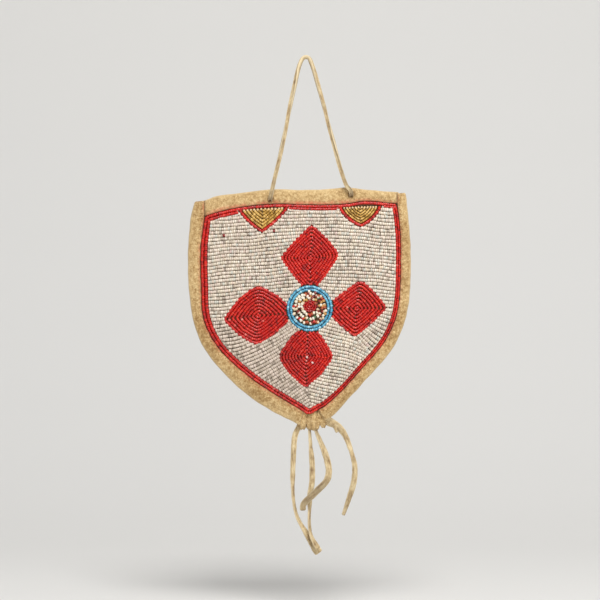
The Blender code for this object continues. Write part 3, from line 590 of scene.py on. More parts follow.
# The highest tint of an ordinary bead. The ramp's last stops are for a few marked beads.
ORDINARY = 0.95


class Strings:
    """Beads waiting to become one piece: places, directions, diameters, lengths and tints."""

    def __init__(self):
        self.rows = []

    def add(self, spots, ways, diameters, lengths, tints):
        self.rows.append((spots, ways, np.broadcast_to(diameters, len(spots)), lengths, tints))

    def count(self):
        return sum(len(row[0]) for row in self.rows)


def tints_for(count):
    return dice.random(count) * ORDINARY


def string_open(strings, line, diameter, keep=None, fit=None, paint=None):
    """Beads along an open line, wherever keep says that they may lie and as wide as fit lets them be."""
    fine = points_at(line, np.arange(SAMPLE / 2, lengths_along(line)[-1], SAMPLE))
    ways = unit(np.gradient(fine, axis=0))
    allowed = np.ones(len(fine), bool)
    if keep is not None:
        allowed = keep(fine)
    changes = np.flatnonzero(np.diff(np.concatenate([[0], allowed.astype(int), [0]])))
    for start, end in changes.reshape(-1, 2):
        count = round((end - start) * SAMPLE / BEAD_LENGTH)
        if count == 0:
            continue
        lengths = 1.0 + dice.normal(0.0, LENGTH_PLAY, count)
        lengths *= (end - start) / lengths.sum()
        at = (start + np.cumsum(lengths) - lengths / 2).astype(int)
        tints = tints_for(count) if paint is None else paint(fine[at])
        wide = diameter if fit is None else fit(fine[at])
        strings.add(fine[at], ways[at], wide, lengths * SAMPLE, tints)


def string_closed(strings, loop, diameter, paint=None, keep=None):
    """Beads all the way round a closed line."""
    line = np.vstack([loop, loop[:1]])
    reach = lengths_along(line)
    count = max(3, round(reach[-1] / BEAD_LENGTH))
    stops = (np.arange(count) + dice.random()) * reach[-1] / count % reach[-1]
    spots = points_at(line, stops)
    ways = unit(np.roll(spots, -1, axis=0) - np.roll(spots, 1, axis=0))
    tints = tints_for(count) if paint is None else paint(spots)
    wide = np.broadcast_to(diameter, len(loop)) if np.ndim(diameter) else np.full(len(loop), diameter)
    wide = np.interp(stops, reach, np.append(wide, wide[0]))
    kept = np.ones(count, bool) if keep is None else keep(spots, wide)
    strings.add(spots[kept], ways[kept], wide[kept], reach[-1] / count, tints[kept])


def sewn_down(name, strings, surface, slot, *nodes):
    """Makes one piece of all the beads, each laid on the front panel."""
    bm = bmesh.new()
    size = len(BEAD_SHAPE)
    for spots, ways, diameters, lengths, tints in strings.rows:
        count = len(spots)
        if count == 0:
            continue
        wide = diameters * (1.0 + dice.normal(0.0, WIDTH_PLAY, count))
        long = lengths * (TIGHT_FIT + dice.random(count) * LOOSENESS)
        spots = spots + dice.normal(0.0, PLACE_PLAY, (count, 2))
        lift = bulge(spots)
        slope = bulge(spots + ways * SLOPE_STEP) - lift
        turns = dice.normal(0.0, TILT_PLAY, (count, 2))
        for i in range(count):
            along = np.array([ways[i, 0], -slope[i] / SLOPE_STEP, ways[i, 1]])
            side = np.array([-ways[i, 1], 0.0, ways[i, 0]])
            out = np.array([0.0, -1.0, 0.0]) + side * turns[i, 1] + along * turns[i, 0]
            along = unit(along - out * np.dot(along, out) / np.dot(out, out))
            out = unit(out)
            axes = np.stack([along * long[i], np.cross(out, along) * wide[i], out * wide[i]])
            depth = BEAD_SEAT + lift[i] + wide[i] * 0.5 + dice.random() * HEIGHT_PLAY
            shape = BEAD_SHAPE @ axes + (spots[i, 0], -depth, spots[i, 1])
            BEAD.vertices.foreach_set("co", shape.astype(np.float32).ravel())
            BEAD.attributes["tint"].data.foreach_set("value", np.full(size, tints[i], np.float32))
            bm.from_mesh(BEAD)
    mesh = smooth_mesh(name, bm)
    mesh.set_sharp_from_angle(angle=math.radians(BEAD_CREASE))
    mesh.materials.append(surface)
    dress(add_object(name, mesh), slot, *nodes)
    print(name, strings.count(), "beads,", len(mesh.polygons), "faces")


def dress(piece, slot, *nodes):
    """The piece moves with the bag and stands for these CAD nodes. The slot is not used."""
    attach(piece, "root")
    if nodes:
        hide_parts(*nodes)


# %% [markdown]
# ## The motifs
# The red border runs round the whole field, two rows wide and one row over the triangles. Each petal is
# one long string wound from its outline to its middle, and its inner corner runs in under the ring. The
# triangles have a red edge row on their two lower sides and gold rows nested inside, which end in pale
# beads. The ring is two light blue rows, the rosette in it takes beads of every colour at hand, and an
# oval of red sits off its middle.

# %% Outlines of the motifs
SHARPEST_MITRE = 0.6


def edge_normals(loop):
    """Inward mitre directions of a closed loop that runs anticlockwise as seen from the front."""
    before = unit(loop - np.roll(loop, 1, axis=0))
    after = unit(np.roll(loop, -1, axis=0) - loop)
    mitre = unit((before + after)[:, ::-1] * (-1.0, 1.0))
    lean = np.abs((mitre * (before[:, ::-1] * (-1.0, 1.0))).sum(1))
    return mitre / np.maximum(lean, SHARPEST_MITRE)[:, None]


def inset(loop, distance):
    return loop + edge_normals(loop) * np.reshape(distance, (-1, 1))


CORNER_REACH = 0.36


def rounded(corners, bow):
    """A closed outline that reaches its four corners although they are rounded, its sides bowed out."""
    spots = placed([corner[:2] for corner in corners])
    radii = np.array([corner[2] for corner in corners]) * MILLIMETRE
    centre = spots.mean(axis=0)
    spots = spots + unit(spots - centre) * radii[:, None] * CORNER_REACH
    outline = []
    for i, (spot, radius) in enumerate(zip(spots, radii)):
        ahead = spots[(i + 1) % 4]
        start = spot + unit(spots[i - 1] - spot) * radius
        end = spot + unit(ahead - spot) * radius
        for share in (0.0, 0.25, 0.5, 0.75, 1.0):
            outline.append((1 - share) ** 2 * start + 2 * share * (1 - share) * spot + share ** 2 * end)
        halfway = (spot + ahead) / 2
        outline.append(halfway + unit(halfway - centre) * bow * MILLIMETRE)
    return np.array(outline)


def circle(centre, radius, count, squash=1.0):
    angles = np.arange(count) * 2 * math.pi / count
    return np.asarray(centre) + radius * np.stack([np.cos(angles), squash * np.sin(angles)], axis=1)


BORDER_GAP = 0.0002
BORDER_TURN = 0.0006
MOUTH_STATIONS = 180
# Places along the mouth and the border's width there. It is narrow over the two triangles.
MOUTH_BORDER_WIDTHS = ((-62.0, 3.9), (-42.6, 3.7), (-41.6, 1.9), (-11.4, 1.9), (-10.4, 3.2), (19.2, 3.2),
                       (20.2, 1.9), (46.6, 1.9), (47.6, 3.1), (56.0, 3.1))


def border_edge():
    """The border's outer edge, just inside the bindings, and its width there."""
    left_outer, left_inner, left_width = stations(LEFT_BINDING, COARSE)
    right_outer, right_inner, right_width = stations(RIGHT_BINDING, COARSE)
    top, low, _ = stations(MOUTH_BINDING, MOUTH_STATIONS)
    down = left_inner[:, 1] < low[0, 1] - BORDER_TURN
    up = right_inner[:, 1] < low[-1, 1] - BORDER_TURN
    left = across(left_inner, left_inner * 2 - left_outer, BORDER_GAP)[down]
    right = across(right_inner, right_inner * 2 - right_outer, BORDER_GAP)[up][::-1]
    mouth = across(low, low * 2 - top, BORDER_GAP)[::-1]
    mouth_width = np.interp(low[:, 0], *np.array(MOUTH_BORDER_WIDTHS).T * MILLIMETRE)
    widths = [left_width[down], [BORDER_TIP[2] * MILLIMETRE], right_width[up][::-1], mouth_width[::-1]]
    return np.vstack([left, placed([BORDER_TIP[:2]]), right, mouth]), np.concatenate(widths)


BORDER_OUTER, BORDER_WIDTH = border_edge()
BORDER_INNER = inset(BORDER_OUTER, BORDER_WIDTH)
OUTLINES = {name: rounded(corners, bow) for name, (corners, bow) in PETALS.items()}
print("border's outer edge in mm:", round(lengths_along(BORDER_OUTER)[-1] * 1000))

# %% Border and petals
# Where the border is narrower than SINGLE_ROW it has one row of beads. ROW_FADE says at which width its
# outer row starts to move to the middle, and over how much narrowing it gets there.
SINGLE_ROW = 0.0026
ROW_FADE = (0.0031, 0.0006)
BORDER_BEADS = (0.0015, 0.0020)
NO_BEAD = 0.0005
LEAST_INNER_BEAD = 0.00125
RED_ROW = 0.00160
PETAL_EDGE_FULLNESS = 1.24
PETAL_FULLNESS = 1.10
LIGHT_BEADS = placed(((0.2, -104.7), (3.5, -108.0)))
MARK_REACH = 0.00108
RING_OVERLAP = 0.0003


def marked(points, marks):
    """Random tints, with the beads nearest to the marks given the ramp's last tone."""
    tints = tints_for(len(points))
    for mark in marks:
        away = np.linalg.norm(points - mark, axis=1)
        if away.min() < MARK_REACH:
            tints[away.argmin()] = 1.0
    return tints


def sew_border():
    strings = Strings()
    width = BORDER_WIDTH
    narrow = width < SINGLE_ROW
    single = np.clip((ROW_FADE[0] - width) / ROW_FADE[1], 0.0, 1.0)
    outer_row = inset(BORDER_OUTER, width * (0.25 + 0.25 * single * narrow))
    string_closed(strings, outer_row, np.clip(np.where(narrow, width, width / 2), *BORDER_BEADS))
    inner_row = inset(BORDER_OUTER, width * 0.75)
    string_closed(strings, inner_row, np.where(narrow, NO_BEAD, width / 2),
                  keep=lambda spots, wide: wide > LEAST_INNER_BEAD)
    sewn_down("border_beads", strings, RED_GLASS, "red_glass", "border_rows")


def outside_ring(spots, margin):
    return np.linalg.norm(spots - RING_CENTRE, axis=1) > RING_RADIUS + margin


def sew_petal(name):
    outline = OUTLINES[name]
    centre = outline.mean(axis=0)
    closed = np.vstack([outline, outline[:1]])
    rows = max(2, round(float(distance_to(closed, centre[None])[0]) / RED_ROW))
    strings = Strings()
    for row in range(rows):
        loop = centre + (outline - centre) * (1 - (row + 0.5) / rows)
        fullness = PETAL_EDGE_FULLNESS if row == 0 else PETAL_FULLNESS
        string_closed(strings, loop, RED_ROW * fullness, paint=lambda spots: marked(spots, LIGHT_BEADS),
                      keep=lambda spots, wide: outside_ring(spots, RING_OVERLAP))
    sewn_down(name + "_beads", strings, RED_GLASS, "red_glass", name)


sew_border()
for petal in PETALS:
    sew_petal(petal)

# %% Ring, rosette and core
RING_ROWS = 2
RING_ROW = 0.0019
RING_FULLNESS = 0.88
RING_POINTS = 48
ROSETTE_ROWS = 3
ROSETTE_BEAD = 0.0021
ROSETTE_POINTS = 36
CORE_ROWS = 3
CORE_RADIUS = 0.0043
CORE_SQUASH = 0.9
CORE_BEAD = 0.0015
CORE_POINTS = 24
CORE_TONES = 0.45
JUMBLE_TURN = 0.6
JUMBLE_SHIFT = 0.00042
JUMBLE_LENGTH = 1.12
# Where the warm beads start, how many of the beads there are warm, and their first tone and span of tones.
WARM_SIDE = 0.45
WARM_SHARE = 0.6
WARM_TONES = (0.72, 0.19)


def sew_ring():
    strings = Strings()
    for row in range(RING_ROWS):
        loop = circle(RING_CENTRE, RING_RADIUS - RING_ROW * (row + 0.5), RING_POINTS)
        string_closed(strings, loop, RING_ROW * RING_FULLNESS)
    sewn_down("ring_beads", strings, BLUE_GLASS, "light_blue_glass", "centre_ring")


def sew_rosette():
    strings = Strings()
    outer = circle(RING_CENTRE, RING_RADIUS - RING_ROWS * RING_ROW, ROSETTE_POINTS)
    inner = circle(CORE_CENTRE, CORE_RADIUS, ROSETTE_POINTS, CORE_SQUASH)
    for row in range(ROSETTE_ROWS):
        loop = outer + (inner - outer) * (row + 0.5) / ROSETTE_ROWS
        string_closed(strings, loop, ROSETTE_BEAD, paint=rosette_tints)
    jumble(strings)
    sewn_down("rosette_beads", strings, MIXED_GLASS, "mixed_glass", "centre_rosette")


def sew_core():
    strings = Strings()
    for row in range(CORE_ROWS):
        loop = circle(CORE_CENTRE, CORE_RADIUS * (1 - (row + 0.5) / CORE_ROWS), CORE_POINTS, CORE_SQUASH)
        string_closed(strings, loop, CORE_BEAD, paint=lambda spots: tints_for(len(spots)) * CORE_TONES)
    sewn_down("core_beads", strings, RED_GLASS, "red_glass", "rosette_core")


def jumble(strings):
    """Turns and shifts beads at random, as where they are sewn on in no order."""
    for number, (spots, ways, wide, lengths, tints) in enumerate(strings.rows):
        turn = dice.normal(0.0, JUMBLE_TURN, len(spots))[:, None]
        sideways = ways[:, ::-1] * (-1.0, 1.0)
        ways = ways * np.cos(turn) + sideways * np.sin(turn)
        spots = spots + dice.normal(0.0, JUMBLE_SHIFT, spots.shape)
        strings.rows[number] = (spots, ways, wide, lengths * JUMBLE_LENGTH, tints)


def rosette_tints(spots):
    """Cream below, and more rust and gold towards the upper right."""
    tints = dice.random(len(spots))
    away = (spots - RING_CENTRE) / RING_RADIUS
    warm = (away[:, 0] + away[:, 1] > WARM_SIDE) & (dice.random(len(spots)) < WARM_SHARE)
    return np.where(warm, WARM_TONES[0] + tints * WARM_TONES[1], tints)


sew_ring()
sew_rosette()
sew_core()

# %% Triangles
GOLD_ROWS = 6
GOLD_SPREAD = 0.96
GOLD_FULLNESS = 0.96
SIDE_POINTS = 7
TRIANGLE_EDGE = 0.0019
TRIANGLE_BOW = {"left": 0.9, "right": 1.5}
TRIANGLE_RISE = 0.0014


def triangle_sides(side):
    """The two lower sides as one line, bowed outwards, and run up to the border's single row."""
    left, apex, right = TRIANGLES[side]
    centre = (left + right) / 2
    sides = []
    for start, end in ((left, apex), (apex, right)):
        out = unit((start + end) / 2 - centre) * TRIANGLE_BOW[side] * MILLIMETRE
        shares = np.linspace(0.0, 1.0, SIDE_POINTS)[:-1, None]
        sides.append(start + (end - start) * shares + out * 4 * shares * (1 - shares))
    lift = np.array([0.0, TRIANGLE_RISE])
    return np.vstack([left + lift, *sides, right, right + lift])


def pale_ends(spots):
    """Random tints, with the palest beads where a row ends at the border."""
    tints = tints_for(len(spots))
    tints[[0, -1]] = 1.0
    return tints


def sew_triangle(side):
    left, apex, right = TRIANGLES[side]
    line = triangle_sides(side)
    centre = (line[0] + line[-1]) / 2
    way = unit(apex - left)
    height = abs(way[0] * (centre - left)[1] - way[1] * (centre - left)[0])
    edge = Strings()
    string_open(edge, centre + (line - centre) * (1 - TRIANGLE_EDGE / 2 / height), TRIANGLE_EDGE)
    sewn_down(f"triangle_{side}_edge_beads", edge, RED_GLASS, "red_glass", f"triangle_{side}_edge_row")
    gold = Strings()
    start = 1 - TRIANGLE_EDGE / height
    wide = start * height / GOLD_ROWS * GOLD_FULLNESS
    for row in range(GOLD_ROWS):
        scale = start * (1 - (row + 0.5) / GOLD_ROWS * GOLD_SPREAD)
        string_open(gold, centre + (line - centre) * scale, wide, paint=pale_ends)
    sewn_down(f"triangle_{side}_gold_beads", gold, GOLD_GLASS, "gold_glass", f"triangle_{side}_gold")


for side in TRIANGLES:
    sew_triangle(side)

# %% [markdown]
# ## The white ground
# The ground is laid in four blocks, each with rows in its own direction, as the beadworker turned the
# work: nearly level rows above, rows that climb towards the middle at the lower left, rows that fall away
# at the lower right, and a fan between the right petal and the border. Rows sway a little, and
# neighbours sway together. The beads at the lower left get darker tints, as painted shade.

# %% Rows of the white ground
WHITE_ROW = 0.0021
TUCK = 0.0005
SMALLEST_BEAD = 0.0011
ROW_POINTS = 60
SWAY_POINTS = 160
LONG_SWAY = 0.00028
SHORT_SWAY = 0.00014
LOWER_LEFT_PITCH = WHITE_ROW * 1.1
# The lower left block's tints are scaled down: painted shade for that part of the bag.
LOWER_LEFT_SHADE = 0.45
FAN_ROWS = 14
FAN_POINTS = 20
FAN_BEAD = WHITE_ROW * 1.12
UPPER_ROW = ((-75.0, -6.0), (-35.0, -2.6), (0.0, 0.0), (27.0, -0.9), (68.0, -4.2))
LOWER_LEFT_ROW = ((-75.0, -27.0), (-50.0, -23.8), (-42.8, -22.4), (-34.7, -19.8), (-25.4, -15.7),
                  (-16.1, -10.7), (0.0, 0.0), (8.0, 5.6))
LOWER_RIGHT_ROW = ((-4.0, 1.0), (0.0, 0.0), (14.9, -3.4), (24.2, -5.6), (30.4, -7.5), (36.6, -10.0),
                   (60.0, -22.0))
FAN_PETAL_SIDE = ((28.0, -91.3), (40.0, -84.0), (50.0, -73.0))
FAN_BORDER_SIDE = ((42.1, -106.7), (53.5, -92.0), (60.0, -73.0))
UPPER_AREA = placed(((-75.0, 0.0), (-75.0, -83.2), (-50.0, -81.9), (-14.0, -77.5), (2.3, -76.6), (2.3, -74.2),
                     (16.7, -73.8), (50.0, -74.2), (70.0, -74.2), (70.0, 0.0)))
LOWER_LEFT_AREA = placed(((-75.0, -83.2), (-50.0, -81.9), (-14.0, -77.8), (1.9, -76.9), (1.9, -100.0),
                          (2.6, -150.0), (-75.0, -150.0)))
LOWER_RIGHT_AREA = placed(((1.5, -76.9), (16.7, -74.1), (29.9, -74.5), (29.9, -90.9), (44.6, -105.8),
                           (20.0, -150.0), (2.1, -150.0), (1.5, -100.0)))
FAN_AREA = placed(((30.2, -74.2), (70.0, -74.2), (70.0, -100.0), (44.0, -107.4), (29.2, -92.0)))
STRAY_BEADS = placed(((-50.0, -30.6), (-20.0, -26.2)))
FIELD_GAP = 0.0001
FIELD_EDGE = inset(BORDER_INNER, FIELD_GAP)
PAST_BORDER = 0.005
MOTIF_SHARE = 0.975
RING_TUCK = 0.0002


def stacked(row_shape, top, bottom, pitch):
    """Centre lines of rows of one shape, stacked downwards."""
    row = curve_through(row_shape, ROW_POINTS)
    count = round(abs(top - bottom) * MILLIMETRE / pitch)
    levels = top + (np.arange(count) + 0.5) / count * (bottom - top)
    return [placed(row + (0.0, level)) for level in levels]


def fanned(inner_side, outer_side, count):
    """Centre lines that spread from one side to another."""
    starts = placed(curve_through(inner_side, 2 * count + 1)[1::2])
    ends = placed(curve_through(outer_side, 2 * count + 1)[1::2])
    shares = np.linspace(0.0, 1.0, FAN_POINTS)[:, None]
    return [start + (end - start) * shares for start, end in zip(starts, ends)]


def swayed(line):
    """The line pushed up and down by a long and a short wave, together with its neighbours."""
    x, z = line[:, 0], line[:, 1]
    push = LONG_SWAY * np.sin(x * 150 + z * 80) + SHORT_SWAY * np.sin(x * 320 - z * 130 + 1.0)
    return np.stack([x, z + push], axis=1)


def sew_ground(name, lines, area, gaps, diameter=WHITE_ROW, painted_shade_scale=1.0):
    """One block of rows inside its area, with gaps for the motifs. A tint scale below 1 gives darker tints,
    as painted shade.
    """
    edges = [np.vstack([edge, edge[:1]]) for edge in (FIELD_EDGE, *gaps)]

    def keep(points):
        free = inside(FIELD_EDGE, points) & inside(area, points)
        for gap in gaps:
            free &= ~inside(gap, points)
        return free

    def fit(points):
        room = np.min([distance_to(edge, points) for edge in edges], axis=0)
        return np.clip((room + TUCK) * 2, SMALLEST_BEAD, diameter)

    def paint(points):
        tints = marked(points, STRAY_BEADS)
        return np.where(tints < 1.0, tints * painted_shade_scale, tints)

    strings = Strings()
    for line in lines:
        string_open(strings, swayed(spaced(line, SWAY_POINTS)), diameter, keep, fit, paint)
    sewn_down(name.replace("rows", "beads"), strings, WHITE_GLASS, "white_glass", name)


def above_triangle(side):
    """A triangle with its red edge row, run up past the border."""
    line = triangle_sides(side)
    lift = np.array([0.0, PAST_BORDER])
    return np.vstack([line[0] + lift, line, line[-1] + lift])


def tucked(outline):
    """The outline a little smaller, so that white beads tuck in under its edge."""
    centre = outline.mean(axis=0)
    return centre + (outline - centre) * MOTIF_SHARE


ring_gap = circle(RING_CENTRE, RING_RADIUS - RING_TUCK, RING_POINTS)
top, left, right, bottom = (tucked(OUTLINES["petal_" + side]) for side in ("top", "left", "right", "bottom"))
triangle_gaps = [above_triangle(side) for side in TRIANGLES]
sew_ground("white_rows_upper", stacked(UPPER_ROW, top=-10.0, bottom=-84.3, pitch=WHITE_ROW),
           UPPER_AREA, [top, left, right, ring_gap, *triangle_gaps])
sew_ground("white_rows_lower_left", stacked(LOWER_LEFT_ROW, top=-57.6, bottom=-136.0, pitch=LOWER_LEFT_PITCH),
           LOWER_LEFT_AREA, [left, bottom, ring_gap], painted_shade_scale=LOWER_LEFT_SHADE)
sew_ground("white_rows_lower_right", stacked(LOWER_RIGHT_ROW, top=-68.0, bottom=-136.0, pitch=WHITE_ROW),
           LOWER_RIGHT_AREA, [right, bottom, ring_gap])
sew_ground("white_rows_right_fan", fanned(FAN_PETAL_SIDE, FAN_BORDER_SIDE, FAN_ROWS),
           FAN_AREA, [right], diameter=FAN_BEAD)

# %% Small beads along the motifs
EDGING_BEAD = 0.0013
EDGING_OUT = 0.0006


def outside_all(outlines, spots):
    return ~np.any([inside(outline, spots) for outline in outlines], axis=0)


def sew_edging():
    """Small beads that close the notches between the ends of the rows and the motifs."""
    strings = Strings()
    for outline in OUTLINES.values():
        centre = outline.mean(axis=0)
        nearest = distance_to(np.vstack([outline, outline[:1]]), centre[None])[0]
        string_closed(strings, centre + (outline - centre) * (1 + EDGING_OUT / nearest), EDGING_BEAD,
                      keep=lambda spots, wide: outside_ring(spots, EDGING_OUT))
    petals = list(OUTLINES.values())
    string_closed(strings, circle(RING_CENTRE, RING_RADIUS + EDGING_OUT, RING_POINTS), EDGING_BEAD,
                  keep=lambda spots, wide: outside_all(petals, spots))
    string_closed(strings, inset(BORDER_INNER, EDGING_OUT), EDGING_BEAD,
                  keep=lambda spots, wide: outside_all(triangle_gaps, spots))
    for side in TRIANGLES:
        line = triangle_sides(side)
        centre = (line[0] + line[-1]) / 2
        nearest = distance_to(line, centre[None])[0]
        string_open(strings, centre + (line - centre) * (1 + EDGING_OUT / nearest), EDGING_BEAD)
    sewn_down("white_beads_edging", strings, WHITE_GLASS, "white_glass")


sew_edging()

# %% [markdown]
# ## Sheets and folds of hide
# A hide piece starts as a flat grid, the way the real one starts as a flat cut. The grid is bent to the
# shape it has on the bag, and where it is rolled right round, its two long edges are welded and its ends
# closed. The UV map of a strip keeps its flat size in metres, so that a grain can run along it.

# %% Bend a grid into a piece
WELD = 1e-7
FOLD_CREASE = 70


def bent_grid(name, spots, surface, rolled=True, soil_and_shade=None, wear_and_highlight=None, bleed=None, girth=0.01):
    """spots[row, column] is where each point of the flat grid goes. girth is the UV map's width in metres."""
    rows, columns = spots.shape[:2]
    bm = bmesh.new()
    bmesh.ops.create_grid(bm, x_segments=columns - 1, y_segments=rows - 1, size=1.0, calc_uvs=True)
    uv = bm.loops.layers.uv.verify()
    long = lengths_along(spots[:, 0])[-1]
    for face in bm.faces:
        for loop in face.loops:
            loop[uv].uv = ((loop.vert.co.x + 1) / 2 * girth, (loop.vert.co.y + 1) / 2 * long)
    layers = {}
    for key, values in (("soil_and_shade", soil_and_shade), ("wear_and_highlight", wear_and_highlight), ("bleed", bleed)):
        if values is not None:
            layers[bm.verts.layers.float.new(key)] = values
    for vert in bm.verts:
        column = round((vert.co.x + 1) / 2 * (columns - 1))
        row = round((vert.co.y + 1) / 2 * (rows - 1))
        for layer, values in layers.items():
            vert[layer] = float(np.clip(values[row, column], 0.0, 1.0))
        vert.co = spots[row, column]
    if rolled:
        bmesh.ops.remove_doubles(bm, verts=bm.verts, dist=WELD)
        bmesh.ops.holes_fill(bm, edges=bm.edges, sides=columns)
    bmesh.ops.recalc_face_normals(bm, faces=bm.faces)
    mesh = smooth_mesh(name, bm)
    mesh.set_sharp_from_angle(angle=math.radians(FOLD_CREASE))
    mesh.materials.append(surface)
    return add_object(name, mesh)


def rumple(spots, scale, seed):
    """Smooth noise from -1 to 1 at each point."""
    flat = spots.reshape(-1, 3) * scale + seed
    return np.array([noise.noise(Vector(spot)) for spot in flat]).reshape(spots.shape[:-1])


def wander(reach, scale, seed, track=0.0):
    """Smooth noise from -1 to 1 along an edge."""
    return np.array([noise.noise(Vector((place * scale, seed, track))) for place in reach])


def bell(values, middle, reach):
    """1 at the middle, fading out on both sides over about the reach."""
    return np.exp(-((values - middle) / reach) ** 2)


# %% [markdown]
# ## The two panels
# Both panels hang from the mouth to the tip and stand off the seam plane by the same bulge. The front one
# only shows between the beads, so its hide is painted dark, as painted shade for the gaps. The back one is
# the large plain face of the bag, so it gets soft undulations, and small puckers where the stitches of the
# bindings pull it in.

# %% Front and back panel
PANEL_LENGTH = 140.1
PANEL_FOOT = MOUTH_LEVEL - PANEL_LENGTH * MILLIMETRE
PANEL_STATIONS = 22
# Soil on the back: how far in from the seam it starts to fade, how far it fades and how dark it is.
RIM = 0.006
RIM_FADE = 0.004
RIM_SOIL = 0.35
# Undulations of the back: scale, seed and height. They are held down over the calm rim.
BACK_WAVES = ((28.0, 3.0, 0.0009), (75.0, 8.0, 0.0003))
CALM_RIM = 0.008
CALM_FADE = 0.02
PUCKER_PITCH = 0.0062
PUCKER_LINE = 0.007
PUCKER_REACH = 0.004
PUCKER_HEIGHT = 0.00012


def above(edge, level):
    """The part of a side edge that lies above a level, cut off there."""
    foot = np.array([np.interp(-level, -edge[:, 1], edge[:, 0]), level])
    return np.vstack([edge[edge[:, 1] > level], foot])


def panel(name, side, rows, columns, surface, slot, node):
    left_edge = spaced(above(LEFT_PANEL_EDGE, PANEL_FOOT), rows)
    right_edge = spaced(above(RIGHT_PANEL_EDGE, PANEL_FOOT), rows)
    mouth_top = stations(MOUTH_BINDING, PANEL_STATIONS)[0]
    mouth = np.vstack([mouth_top[0] * 2 - mouth_top[3], mouth_top, mouth_top[-1] * 2 - mouth_top[-4]])
    mouth = mouth - (0.0, PANEL_INSET)
    shares = (0.5 - 0.5 * np.cos(np.linspace(0.0, math.pi, columns)))[None, :, None]
    flat = left_edge[:, None] + (right_edge - left_edge)[:, None] * shares
    fade = (np.linspace(1.0, 0.0, rows) ** 2)[:, None]
    lift = (np.interp(flat[0, :, 0], mouth[:, 0], mouth[:, 1]) - flat[0, :, 1])[None]
    flat[..., 1] += lift * fade
    points = flat.reshape(-1, 2)
    rise = bulge(points)
    away = np.minimum(distance_to(LEFT_PANEL_EDGE, points), distance_to(RIGHT_PANEL_EDGE, points))
    soil_and_shade = np.zeros(len(points))
    if side > 0:
        rise = rise + back_relief(points, away)
        soil_and_shade = np.exp(-np.maximum(away - RIM, 0.0) / RIM_FADE) * RIM_SOIL
    depth = side * (HALF_GAP + PANEL_THICKNESS / 2 + rise)
    spots = np.stack([points[:, 0], depth, points[:, 1]], axis=1).reshape(rows, columns, 3)
    made = bent_grid(name, spots, surface, rolled=False, soil_and_shade=soil_and_shade.reshape(rows, columns))
    wall = made.modifiers.new("thickness", "SOLIDIFY")
    wall.thickness = PANEL_THICKNESS
    wall.offset = 0.0
    dress(made, slot, node)
    print(name, "flat size in mm:", [round(v * 1000) for v in panel_size(flat)])


def panel_size(flat):
    """Widest width and length down the middle."""
    wide = (flat[:, -1, 0] - flat[:, 0, 0]).max()
    return wide, lengths_along(flat[:, flat.shape[1] // 2])[-1]


def back_relief(points, away):
    """Undulations of the hide, held down near the seams."""
    spots = np.stack([points[:, 0], np.zeros(len(points)), points[:, 1]], axis=1)
    wave = sum(rumple(spots, scale, seed) * height for scale, seed, height in BACK_WAVES)
    beat = np.sin(points[:, 1] * 2 * math.pi / PUCKER_PITCH)
    puckers = beat * bell(away, PUCKER_LINE, PUCKER_REACH) * PUCKER_HEIGHT
    return wave * np.clip((away - CALM_RIM) / CALM_FADE, 0.0, 1.0) + puckers


panel("front_hide", -1, 60, 44, SHADED_FRONT_HIDE, "inner_hide", "front_panel")
panel("back_hide", 1, 150, 110, TAN_HIDE, "tan_hide", "back_panel")

# %% [markdown]
# ## Folded bindings
# A strip of soft hide is folded over the sewn edges and stitched down through all layers. It puffs up
# between the fold and the stitches, dips at every stitch, and its cut edge wanders a little. The same
# section runs along the edge, so the piece is a rolled grid whose rows are the stations of the edge.

# %% Side bindings
STITCH = 0.0031
STITCH_LENGTH = 0.00042
STITCH_WIDTH = 0.00055
STITCH_WANDER = 0.12
SIDE_STITCH_DEPTH = 0.00042
SIDE_STITCH_LINE = 0.84
END_ROUNDING = 0.0014
END_DRAW = 0.12
# Half the section, from the fold to the cut edge: share of the strip's width, and height in thicknesses.
SIDE_SECTION = ((0.0, 0.0), (0.04, 0.5), (0.16, 0.95), (0.42, 1.22), (0.68, 1.14), (0.9, 0.84), (0.98, 0.62),
                (1.0, 0.5))
SIDE_SECTION_POINTS = 19
UNDERSIDE_SHARE = 0.62
FOLD_WANDER = 0.00028
CUT_WANDER = 0.00035
SIDE_PUFF = 0.13
HIDE_RUMPLE = np.array([0.3, 1.0, 0.3]) * 0.00012
# How dark the soil in the stitches and along the cut edge is, and how much red ran into the front.
SIDE_STITCH_SOIL = 0.55
SIDE_CUT_SOIL = 0.5
SIDE_BLEED = 0.55


def end_taper(reach):
    """1 along the piece, falling to 0 in a quarter round at its two ends."""
    near = np.clip(np.minimum(reach, reach[-1] - reach) / END_ROUNDING, 0.0, 1.0)
    return np.sqrt(1.0 - (1.0 - near) ** 2)


def stitch_pull(reach, inward, centre, seed):
    """Dimples of the stitches: 1 in the middle of each, 0 away from them."""
    drift = STITCH_WANDER * np.sin(reach * 210 + seed)
    phase = (reach / STITCH + drift) % 1.0 - 0.5
    return bell(phase * STITCH, 0.0, STITCH_LENGTH)[:, None] * bell(inward, centre, STITCH_WIDTH)


